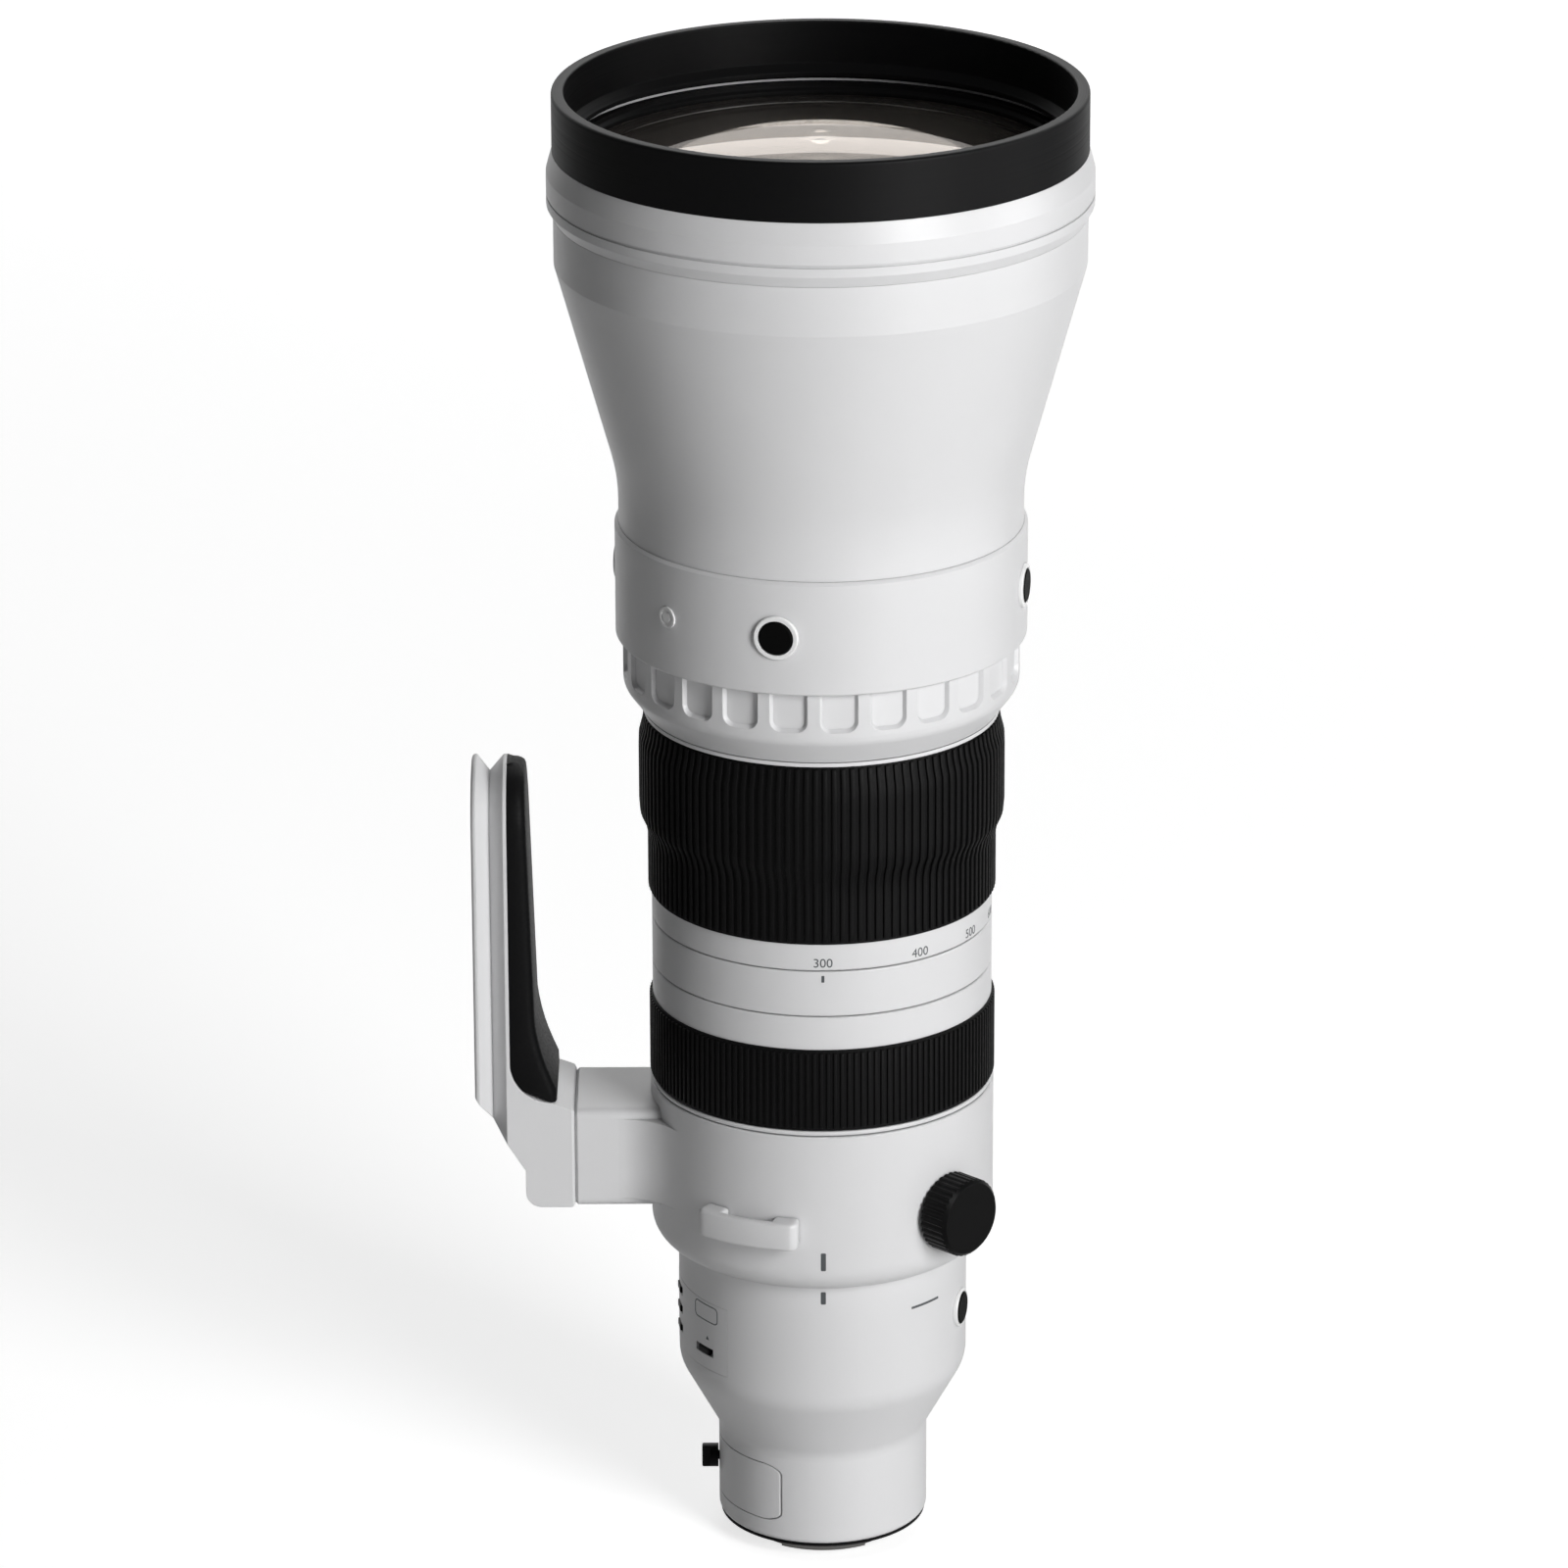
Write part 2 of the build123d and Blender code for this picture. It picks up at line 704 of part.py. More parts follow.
lock_knob_inner = rear_neck_radius + joint_gap
with BuildPart() as filter_lock_knob:
    stud(-90, drawer_middle, lock_knob_radius, lock_knob_inner, lock_knob_inner + lock_knob_depth)
    fillet(filter_lock_knob.edges().sort_by(Axis.X)[0], edge_round)
    # Finger wing, left standing between two flats
    for side in (-1, 1):
        with BuildSketch(facing(-90, lock_knob_inner + lock_knob_depth / 2, drawer_middle)) as flat:
            with Locations((side * lock_knob_radius, 0)):
                Rectangle(2 * lock_knob_radius - lock_wing_width, 2 * lock_knob_radius)
        extrude(flat.sketch, amount=lock_knob_depth, mode=Mode.SUBTRACT)
    spindle_end = neck_bore - lock_spindle_radius
    stud(-90, drawer_middle, lock_spindle_radius, spindle_end, lock_knob_inner + edge_round)
save(filter_lock_knob, "filter_lock_knob")

# Stabiliser: base plate with a pocket, guide that shifts along X, frame that shifts along Y
guide_inner_x = ois_frame_side + 2 * joint_gap
guide_inner_y = ois_frame_side + 2 * (ois_travel + joint_gap)
guide_outer_x = guide_inner_x + 2 * ois_guide_rim
guide_outer_y = guide_inner_y + 2 * ois_guide_rim
ois_base_bottom = ois_height - ois_base_thickness / 2
ois_plate_bottom = ois_height - ois_plate_thickness / 2
with BuildPart() as ois_base:
    with BuildSketch(Plane.XY.offset(ois_base_bottom)) as plate:
        Circle(rear_bore - seat_gap)
        Rectangle(
            guide_outer_x + 2 * (ois_travel + joint_gap), guide_outer_y + 2 * joint_gap, mode=Mode.SUBTRACT
        )
        with Locations((0, rod_offset), (0, -rod_offset)):
            Circle(rod_radius + seat_gap, mode=Mode.SUBTRACT)
    extrude(plate.sketch, amount=ois_base_thickness)
save(ois_base, "ois_base")

with BuildPart() as ois_guide:
    with BuildSketch(Plane.XY.offset(ois_plate_bottom)) as plate:
        Rectangle(guide_outer_x, guide_outer_y)
        Rectangle(guide_inner_x, guide_inner_y, mode=Mode.SUBTRACT)
    extrude(plate.sketch, amount=ois_plate_thickness)
save(ois_guide, "ois_guide")

with BuildPart() as ois_frame:
    with BuildSketch(Plane.XY.offset(ois_plate_bottom)) as plate:
        Rectangle(ois_frame_side, ois_frame_side)
        Circle(ois_lens_radius + seat_gap, mode=Mode.SUBTRACT)
    extrude(plate.sketch, amount=ois_plate_thickness)
save(ois_frame, "ois_frame")

with BuildPart() as ois_lens:
    turn_lens(
        ois_lens_radius, ois_height - ois_lens_edge / 2, ois_height + ois_lens_edge / 2,
        ois_lens_bulge, -ois_lens_bulge / 2,
    )
save(ois_lens, "ois_lens")

# Switch panel: a curved plate with a slot for each slide switch
switches = [(switch_low_azimuth, switch_low_height)] + [
    (switch_low_azimuth + switch_row_step, switch_low_height + row * switch_column_step)
    for row in range(switch_rear_count)
]
panel_outer = rear_barrel_radius + panel_rise
with BuildPart() as switch_panel:
    turn_sector(
        [
            (panel_inner, panel_bottom),
            (panel_outer, panel_bottom),
            (panel_outer, panel_top),
            (panel_inner, panel_top),
        ],
        panel_low_azimuth + degrees(seat_gap / panel_outer),
        panel_high_azimuth - degrees(seat_gap / panel_outer),
    )
    for azimuth, height in switches:
        slot_long = switch_long + 2 * (switch_travel + joint_gap)
        block(azimuth, height, slot_long, switch_high + 2 * joint_gap,
              panel_inner - overrun, panel_outer + overrun, Mode.SUBTRACT)
save(switch_panel, "switch_panel")

for number, (azimuth, height) in enumerate(switches, start=1):
    with BuildPart() as switch:
        block(azimuth, height, switch_long, switch_high, panel_inner + joint_gap, panel_outer + switch_rise)
        fillet(switch.faces().sort_by_distance(around(azimuth, panel_outer + switch_rise, height))[0].edges(),
               switch_round)
    save(switch, f"slide_switch_{number}")

# Round button beside the panel
with BuildPart() as rear_button:
    stud(rear_button_azimuth, rear_button_height, rear_button_radius,
         rear_bore + button_travel + joint_gap, rear_barrel_radius + bezel_rise + button_rise)
    face = around(rear_button_azimuth, rear_barrel_radius + bezel_rise, rear_button_height)
    fillet(rear_button.faces().sort_by_distance(face)[0].edges(), edge_round)
save(rear_button, "rear_button")

# Tripod collar: hoop with a round lower edge, pockets for the clamp, and the arm of the foot
round_middle = collar_radius - collar_round
round_top = collar_bottom + sqrt(collar_round ** 2 - (liner_bore - round_middle) ** 2)
round_mid_radius = (liner_bore + collar_radius) / 2
round_mid_height = round_top - sqrt(collar_round ** 2 - (round_mid_radius - round_middle) ** 2)
lip_step = collar_bottom + liner_wall
shoe_outer = collar_tube_radius + shoe_retreat + shoe_thickness
with BuildPart() as tripod_collar:
    with BuildSketch(Plane.YZ) as arm:
        with Locations((0, arm_bottom + arm_height / 2)):
            RectangleRounded(2 * arm_half_width, arm_height, arm_round)
    extrude(arm.sketch, amount=-arm_reach)
    chamfer(tripod_collar.edges().group_by(Axis.X)[0], seam_chamfer)
    # Root of the arm widens into the hoop on both sides in a hollow curve
    with BuildSketch(Plane.XY.offset(arm_bottom + arm_round)) as flare:
        flare_end = collar_radius + arm_flare
        flare_side = arm_half_width + arm_flare
        flare_root = sqrt(collar_radius ** 2 - flare_side ** 2)
        with BuildLine():
            near = TangentArc((-flare_end, -arm_half_width), (-flare_root, -flare_side), tangent=(1, 0))
            far = TangentArc((-flare_end, arm_half_width), (-flare_root, flare_side), tangent=(1, 0))
            Polyline(near @ 1, (0, -flare_side), (0, flare_side), far @ 1)
            Line(near @ 0, far @ 0)
        make_face()
    extrude(flare.sketch, amount=arm_height - 2 * arm_round)
    with BuildSketch(Plane.XZ) as hoop:
        with BuildLine():
            ThreePointArc(
                (liner_bore, collar_bottom),
                (round_mid_radius, round_mid_height),
                (collar_radius, round_top),
            )
            Polyline(
                (collar_radius, round_top),
                (collar_radius, collar_top),
                (collar_bore, collar_top),
                (collar_bore, lip_step),
                (liner_bore, lip_step),
                (liner_bore, collar_bottom),
            )
        make_face()
        fillet(hoop.vertices().sort_by_distance((collar_radius, collar_top, 0))[0], edge_round)
    revolve(hoop.sketch, axis=Axis.Z)
    turn_ring(0, collar_bore, lip_step, collar_top + overrun, mode=Mode.SUBTRACT)
    # Clamp: hole for its screw and a pocket for the shoe
    stud(clamp_azimuth, clamp_height, clamp_screw_radius + pin_gap,
         collar_bore - overrun, collar_radius + overrun, Mode.SUBTRACT)
    block(clamp_azimuth, clamp_height, shoe_length + 2 * joint_gap, shoe_height + 2 * joint_gap,
          collar_bore - overrun, shoe_outer + joint_gap, Mode.SUBTRACT)
    with BuildSketch(Plane.YZ.offset(-arm_reach)) as threads:
        with Locations((0, foot_screw_height)):
            with GridLocations(foot_screw_spacing, 0, 2, 1):
                Circle(foot_screw_radius + seat_gap)
    extrude(threads.sketch, amount=foot_screw_engagement + joint_gap, mode=Mode.SUBTRACT)
save(tripod_collar, "tripod_collar")

# Two slippery bands between the collar and its tube, above and below the clamp shoe
liner_split_low = clamp_height - shoe_height / 2 - joint_gap * 2
liner_split_high = clamp_height + shoe_height / 2 + joint_gap * 2
with BuildPart() as collar_liners:
    turn_ring(liner_bore, collar_bore - seat_gap, lip_step + seat_gap, liner_split_low)
    turn_ring(liner_bore, collar_bore - seat_gap, liner_split_high, collar_top - joint_gap)
save(collar_liners, "collar_liners")

# Strap lugs: a bar that stands off the collar on two feet
with BuildPart() as strap_lugs:
    lug_inner = collar_radius + seat_gap
    lug_mid = lug_inner + strap_gap
    for middle in (strap_azimuth, -180 - strap_azimuth):
        with BuildSketch(Plane.XY.offset(strap_bottom)) as loop:
            with BuildLine():
                near = around(middle - strap_sweep / 2, lug_inner, 0)[:2]
                far = around(middle + strap_sweep / 2, lug_inner, 0)[:2]
                crown_near = around(middle - strap_slot_sweep / 2, lug_mid + strap_bar, 0)[:2]
                crown_far = around(middle + strap_slot_sweep / 2, lug_mid + strap_bar, 0)[:2]
                ThreePointArc(near, around(middle, lug_inner, 0)[:2], far)
                Line(far, crown_far)
                ThreePointArc(crown_far, around(middle, lug_mid + strap_bar, 0)[:2], crown_near)
                Line(crown_near, near)
            make_face()
            fillet(loop.vertices().sort_by_distance((*crown_near, 0))[0], strap_bar)
            fillet(loop.vertices().sort_by_distance((*crown_far, 0))[0], strap_bar)
            with BuildLine():
                low = middle - strap_slot_sweep / 2
                high = middle + strap_slot_sweep / 2
                under = collar_radius - strap_bar
                ThreePointArc(
                    around(low, lug_mid, 0)[:2], around(middle, lug_mid, 0)[:2], around(high, lug_mid, 0)[:2]
                )
                Polyline(
                    around(high, lug_mid, 0)[:2], around(high, under, 0)[:2],
                    around(low, under, 0)[:2], around(low, lug_mid, 0)[:2],
                )
            make_face(mode=Mode.SUBTRACT)
        extrude(loop.sketch, amount=strap_height)
save(strap_lugs, "strap_lugs")

# Foot: heel, slope and a rail with dovetail grooves and a half round end, in the plane of the arm
rail_bend_height = arm_bottom + arm_height + foot_toe_rise + rail_bend
rail_end_middle = rail_top - arm_half_width


def round_end(radius):
    # Takes the corners off a solid of that half width, so that it ends in a half round like the rail
    with BuildSketch(Plane.YZ.offset(-foot_outer - overrun)) as corners:
        with Locations((0, rail_end_middle + arm_half_width)):
            Rectangle(2 * (arm_half_width + overrun), 2 * arm_half_width)
        with Locations((0, rail_end_middle)):
            Circle(radius, mode=Mode.SUBTRACT)
    extrude(corners.sketch, amount=foot_outer - pad_toe + overrun, mode=Mode.SUBTRACT)


with BuildPart() as tripod_foot:
    with BuildSketch(Plane.XZ) as side:
        with BuildLine():
            heel_top = arm_bottom + foot_heel_height
            slope_top = heel_top + foot_slope_height
            toe = rail_bend_height - rail_bend
            outline = Polyline(
                (-rail_inner + rail_bend, toe),
                (-arm_reach - seat_gap, arm_bottom + arm_height),
                (-arm_reach - seat_gap, arm_bottom),
                (-foot_heel, arm_bottom),
                (-foot_heel, heel_top),
                (-foot_outer, slope_top),
                (-foot_outer, rail_top),
                (-rail_inner, rail_top),
                (-rail_inner, rail_bend_height),
            )
            RadiusArc(outline @ 1, outline @ 0, -rail_bend)
        make_face()
        fillet(side.vertices().sort_by_distance((-foot_heel, arm_bottom, 0))[0], foot_heel_round)
    extrude(side.sketch, amount=arm_half_width, both=True)
    chamfer(tripod_foot.faces().sort_by(Axis.X)[-1].edges(), seam_chamfer)
    round_end(arm_half_width)
    fillet(tripod_foot.faces().sort_by(Axis.X)[0].edges(), rail_round)
    # Dovetail groove, up one side of the rail, round its end and down the other side
    with BuildLine(Plane.YZ.offset(-rail_groove_root)) as rail_edge:
        Line((-arm_half_width, heel_top), (-arm_half_width, rail_end_middle))
        ThreePointArc((-arm_half_width, rail_end_middle), (0, rail_top), (arm_half_width, rail_end_middle))
        Line((arm_half_width, rail_end_middle), (arm_half_width, heel_top))
    with BuildSketch(Plane.XY.offset(heel_top)) as groove:
        with BuildLine():
            Polyline(
                (-rail_groove_outer, -arm_half_width - seat_gap),
                (-rail_groove_root, -arm_half_width + rail_groove_depth),
                (-rail_groove_inner, -arm_half_width - seat_gap),
                close=True,
            )
        make_face()
    sweep(groove.sketch, path=rail_edge.wire(), mode=Mode.SUBTRACT)
    # Counterbored screws that hold the foot to the arm
    screw_head_seat = arm_reach + foot_screw_cover
    with BuildSketch(Plane.YZ.offset(-screw_head_seat)) as counterbores:
        with Locations((0, foot_screw_height)):
            with GridLocations(foot_screw_spacing, 0, 2, 1):
                Circle(foot_screw_head_radius + seat_gap)
    extrude(counterbores.sketch, amount=-(foot_outer - screw_head_seat + overrun), mode=Mode.SUBTRACT)
    with BuildSketch(Plane.YZ.offset(-screw_head_seat - overrun)) as shanks:
        with Locations((0, foot_screw_height)):
            with GridLocations(foot_screw_spacing, 0, 2, 1):
                Circle(foot_screw_radius + seat_gap)
    extrude(shanks.sketch, amount=foot_screw_cover + 2 * overrun, mode=Mode.SUBTRACT)
    # Tripod threads in the face, and the stop screws near the rail's ends
    with BuildSketch(Plane.YZ.offset(-foot_outer)) as bores:
        with Locations((0, tripod_hole_height)):
            Circle(tripod_hole_large)
        with Locations((0, tripod_hole_height + tripod_hole_spacing)):
            Circle(tripod_hole_small)
    extrude(bores.sketch, amount=tripod_hole_depth, mode=Mode.SUBTRACT)
    stop_heights = (slope_top + stop_screw_inset, rail_top - stop_screw_inset)
    with BuildSketch(Plane.YZ.offset(-foot_outer)) as stops:
        with Locations(*[(0, height) for height in stop_heights]):
            Circle(stop_screw_radius + seat_gap)
    extrude(stops.sketch, amount=stop_screw_length + seat_gap, mode=Mode.SUBTRACT)
save(tripod_foot, "tripod_foot")

with BuildPart() as foot_screws:
    with BuildSketch(Plane.YZ.offset(-screw_head_seat - seat_gap)) as heads:
        with Locations((0, foot_screw_height)):
            with GridLocations(foot_screw_spacing, 0, 2, 1):
                Circle(foot_screw_head_radius)
                RegularPolygon(foot_screw_socket, 6, mode=Mode.SUBTRACT)
    extrude(heads.sketch, amount=-foot_screw_head_height)
    with BuildSketch(Plane.YZ.offset(-screw_head_seat - seat_gap * 2)) as shanks:
        with Locations((0, foot_screw_height)):
            with GridLocations(foot_screw_spacing, 0, 2, 1):
                Circle(foot_screw_radius)
    extrude(shanks.sketch, amount=foot_screw_cover + foot_screw_engagement)
    # Stop screws near the ends of the rail
    with BuildSketch(Plane.YZ.offset(-foot_outer + seat_gap)) as studs:
        with Locations(*[(0, height) for height in stop_heights]):
            Circle(stop_screw_radius)
            RegularPolygon(stop_screw_socket, 6, mode=Mode.SUBTRACT)
    extrude(studs.sketch, amount=stop_screw_length - seat_gap)
save(foot_screws, "foot_screws")

# Rubber pad on the inner side of the rail, for carrying the lens by its foot
with BuildPart() as foot_grip_pad:
    with BuildSketch(Plane.XZ) as cushion:
        with BuildLine():
            back = Polyline(
                (-rail_inner + seat_gap, rail_bend_height),
                (-rail_inner + seat_gap, rail_top),
                (-pad_top_inner, rail_top),
                (-pad_waist_inner, pad_waist_height),
            )
            toe_top = (-pad_toe, toe + pad_toe_height)
            sway = (pad_toe + pad_waist_inner) / 2 + pad_sway
            ThreePointArc(back @ 1, (-sway, (toe + pad_toe_height + pad_waist_height) / 2), toe_top)
            Polyline(toe_top, (-pad_toe, toe + seat_gap), (-rail_inner + rail_bend, toe + seat_gap))
            RadiusArc(back @ 0, (-rail_inner + rail_bend, toe + seat_gap), seat_gap - rail_bend)
        make_face()
        fillet(cushion.vertices().sort_by_distance((-pad_top_inner, rail_top, 0))[0], pad_round)
    extrude(cushion.sketch, amount=arm_half_width - edge_round, both=True)
    round_end(arm_half_width - edge_round)
    pad_notches = [pad_notch_first + number * pad_notch_pitch for number in range(pad_notch_count)]
    with BuildSketch(Plane.XZ) as notches:
        with Locations(*[(-rail_inner, height) for height in pad_notches]):
            Circle(pad_notch_radius)
    for side in (-1, 1):
        depth = side * (arm_half_width - edge_round)
        extrude(notches.sketch.moved(Location((0, depth, 0))), amount=pad_notch_radius,
                both=True, mode=Mode.SUBTRACT)
save(foot_grip_pad, "foot_grip_pad")

# Clamp knob with its screw, and the shoe that the screw presses on the tube
knob_inner = collar_radius + joint_gap
with BuildPart() as clamp_knob:
    stud(clamp_azimuth, clamp_height, clamp_knob_radius, knob_inner, knob_inner + clamp_knob_depth)
    crown = clamp_knob.faces().sort_by_distance(
        around(clamp_azimuth, knob_inner + clamp_knob_depth, clamp_height))[0]
    chamfer(crown.edges(), clamp_knob_bevel)
    with BuildSketch(facing(clamp_azimuth, knob_inner, clamp_height)) as notches:
        with PolarLocations(clamp_knob_radius + clamp_notch_radius - clamp_notch_depth, clamp_knob_notches):
            Circle(clamp_notch_radius)
    extrude(notches.sketch, amount=clamp_knob_depth, mode=Mode.SUBTRACT)
    stud(clamp_azimuth, clamp_height, clamp_screw_radius, shoe_outer + joint_gap, knob_inner + edge_round)
save(clamp_knob, "clamp_knob")

with BuildPart() as clamp_shoe:
    block(clamp_azimuth, clamp_height, shoe_length, shoe_height, collar_tube_radius - overrun, shoe_outer)
    turn_ring(0, collar_tube_radius + shoe_retreat, clamp_height - shoe_height, clamp_height + shoe_height,
              mode=Mode.SUBTRACT)
save(clamp_shoe, "clamp_shoe")

# Main barrel that everything in front is built on; its foot is the lip that holds the collar
key_middle = zoom_bottom + scale_band_length / 2
key_margin = degrees((key_width / 2 + joint_gap) / main_barrel_bore)
with BuildPart() as main_barrel:
    turn(
        [
            (main_barrel_bore, lip_bottom),
            (lip_radius, lip_bottom),
            (lip_radius, lip_top),
            (main_barrel_radius, lip_top),
            (main_barrel_radius, fluted_top),
            (main_barrel_bore, fluted_top),
        ],
        [((lip_radius, lip_bottom), edge_round), ((lip_radius, lip_top), edge_round)],
    )
    half_slot = key_height / 2 + joint_gap
    turn_sector(
        [
            (main_barrel_bore - overrun, key_middle - half_slot),
            (main_barrel_radius + overrun, key_middle - half_slot),
            (main_barrel_radius + overrun, key_middle + half_slot),
            (main_barrel_bore - overrun, key_middle + half_slot),
        ],
        -zoom_turn - key_margin,
        key_margin,
        mode=Mode.SUBTRACT,
    )
save(main_barrel, "main_barrel")

# Focus ring: white band above, rubber grip below. It turns without end
with BuildPart() as focus_ring:
    turn(
        [
            (ring_bore, focus_bottom),
            (grip_seat_radius, focus_bottom),
            (grip_seat_radius, focus_band_bottom),
            (focus_band_radius, focus_band_bottom),
            (focus_band_radius, focus_top),
            (ring_bore, focus_top),
        ],
        [((focus_band_radius, focus_top), edge_round)],
    )
save(focus_ring, "focus_ring")

with BuildPart() as focus_grip:
    turn_ring(grip_seat_radius + seat_gap, focus_grip_radius, focus_bottom, focus_band_bottom - seat_gap,
              soften=edge_round)
save(focus_grip, "focus_grip")

with BuildPart() as index_band:
    turn(
        [
            (main_barrel_radius + seat_gap, index_bottom),
            (index_band_radius, index_bottom),
            (index_band_radius, index_top),
            (main_barrel_radius + seat_gap, index_top),
        ],
        [((index_band_radius, index_bottom), edge_round), ((index_band_radius, index_top), edge_round)],
    )
save(index_band, "index_band")

# Zoom ring: white scale band, seat for the rubber, thin rim above
with BuildPart() as zoom_ring:
    turn(
        [
            (ring_bore, zoom_bottom),
            (scale_band_radius, zoom_bottom),
            (scale_band_radius, zoom_grip_bottom),
            (grip_seat_radius, zoom_grip_bottom),
            (grip_seat_radius, zoom_grip_top),
            (zoom_grip_top_radius, zoom_grip_top),
            (zoom_grip_top_radius, zoom_top),
            (ring_bore, zoom_top),
        ],
        [((scale_band_radius, zoom_bottom), edge_round)],
    )
    block(0, key_middle, key_width + 2 * seat_gap, key_height + 2 * seat_gap,
          ring_bore - overrun, ring_bore + ring_wall / 2, Mode.SUBTRACT)
save(zoom_ring, "zoom_ring")

# Rubber sleeve with a raised grip zone and a soft step down towards the scale
grip_low = zoom_grip_bottom + zoom_grip_length * grip_low_share
grip_step = zoom_grip_bottom + zoom_grip_length * grip_step_share
grip_high = zoom_grip_bottom + zoom_grip_length * grip_high_share
grip_bend = zoom_grip_length * grip_bend_share
with BuildPart() as zoom_grip:
    turn(
        [
            (grip_seat_radius + seat_gap, zoom_grip_bottom + seat_gap),
            (zoom_grip_low_radius, zoom_grip_bottom + seat_gap),
            (zoom_grip_low_radius, grip_low),
            (zoom_grip_radius, grip_step),
            (zoom_grip_radius, grip_high),
            (zoom_grip_top_radius, zoom_grip_top - seat_gap),
            (grip_seat_radius + seat_gap, zoom_grip_top - seat_gap),
        ],
        [
            ((zoom_grip_radius, grip_step), grip_bend),
            ((zoom_grip_radius, grip_high), grip_bend),
            ((zoom_grip_low_radius, grip_low), grip_bend),
        ],
    )
save(zoom_grip, "zoom_grip")


def cam_slot(azimuth, height, rise, depth_low, depth_high):
    # Helical slot: the follower stands at one end at rest and runs to the other as the ring turns
    pitch_radius = (cam_outer + cam_bore) / 2
    slope = rise / (radians(zoom_turn) * pitch_radius)
    slot_width = 2 * (follower_radius + follower_gap)
    slot_tall = slot_width * sqrt(1 + slope ** 2)
    rungs = []
    for step in range(cam_slot_steps + 1):
        share = step / cam_slot_steps
        with BuildSketch(meridian(azimuth + share * zoom_turn)) as rung:
            with Locations(((depth_low + depth_high) / 2, height + share * rise)):
                Rectangle(depth_high - depth_low, slot_tall)
        rungs.append(rung.sketch.face())
    loft(rungs, ruled=True, mode=Mode.SUBTRACT)
    for end in (0, 1):
        stud(azimuth + end * zoom_turn, height + end * rise, slot_width / 2,
             depth_low, depth_high, Mode.SUBTRACT)


# Cam barrel turns with the zoom ring and moves both groups at once
with BuildPart() as cam_barrel:
    turn_ring(cam_bore, cam_outer, cam_bottom, cam_bottom + cam_barrel_length)
    for follower in range(follower_count):
        around_step = follower * 360 / follower_count
        cam_slot(variator_azimuth + around_step, variator_height, -variator_travel,
                 cam_bore - overrun / 2, cam_outer + overrun / 2)
        cam_slot(compensator_azimuth + around_step, compensator_height, -compensator_travel,
                 cam_bore - overrun / 2, cam_outer + overrun / 2)
    block(0, key_middle, key_width + 2 * seat_gap, key_height + 2 * seat_gap,
          cam_bore - overrun, cam_outer + overrun, Mode.SUBTRACT)
    # Key that ties it to the zoom ring through the main barrel's slot
    key_outer = ring_bore + ring_wall / 2 - joint_gap
    block(0, key_middle, key_width, key_height, cam_bore + joint_gap, key_outer)
save(cam_barrel, "cam_barrel")

# Guide barrel stands still: its straight slots let the followers move along the axis only
guide_top = cam_bottom + cam_barrel_length + guide_flange_height
with BuildPart() as guide_barrel:
    turn(
        [
            (guide_bore, guide_bottom),
            (main_barrel_bore - seat_gap, guide_bottom),
            (main_barrel_bore - seat_gap, guide_bottom + guide_flange_height),
            (guide_outer, guide_bottom + guide_flange_height),
            (guide_outer, guide_top),
            (guide_bore, guide_top),
        ]
    )
    guide_slots = (
        (variator_azimuth, variator_height - variator_travel / 2, variator_travel),
        (compensator_azimuth, compensator_height - compensator_travel / 2, compensator_travel),
    )
    for azimuth, middle, travel in guide_slots:
        for follower in range(follower_count):
            place = azimuth + follower * 360 / follower_count
            with BuildSketch(facing(place, guide_bore / 2, middle)) as slot:
                SlotOverall(
                    travel + 2 * (follower_radius + 2 * follower_gap),
                    2 * (follower_radius + follower_gap),
                    rotation=90,
                )
            extrude(slot.sketch, amount=guide_bore, mode=Mode.SUBTRACT)
save(guide_barrel, "guide_barrel")

# Variator and compensator: carrier, glass and three followers each
groups = (
    ("variator", variator_azimuth, variator_height, -1),
    ("compensator", compensator_azimuth, compensator_height, 1),
)
for group, azimuth, height, curve in groups:
    carrier_bore = carrier_radius - carrier_wall
    carrier_bottom = height - carrier_length / 2
    lens_low = height - carrier_lens_edge / 2
    with BuildPart() as carrier:
        turn(
            [
                (carrier_bore, carrier_bottom),
                (carrier_radius, carrier_bottom),
                (carrier_radius, carrier_bottom + carrier_length),
                (carrier_bore, carrier_bottom + carrier_length),
                (carrier_bore, lens_low),
                (carrier_bore - carrier_lip, lens_low),
                (carrier_bore - carrier_lip, lens_low - carrier_lip),
                (carrier_bore, lens_low - carrier_lip),
            ]
        )
        for follower in range(follower_count):
            stud(azimuth + follower * 360 / follower_count, height, follower_radius / 2 + seat_gap,
                 carrier_bore - overrun, carrier_radius + overrun, Mode.SUBTRACT)
        for follower in range(follower_count):
            place = azimuth + follower * 360 / follower_count
            stud(place, height, follower_radius, carrier_radius + seat_gap, cam_outer - joint_gap)
            stud(place, height, follower_radius / 2, carrier_bore + seat_gap, carrier_radius + 2 * seat_gap)
    save(carrier, group + "_carrier")
    with BuildPart() as glass:
        turn_lens(
            carrier_bore - seat_gap, lens_low + seat_gap, lens_low + carrier_lens_edge,
            -carrier_lens_bulge / 2, carrier_lens_bulge * curve / 2,
        )
    save(glass, group + "_lens")

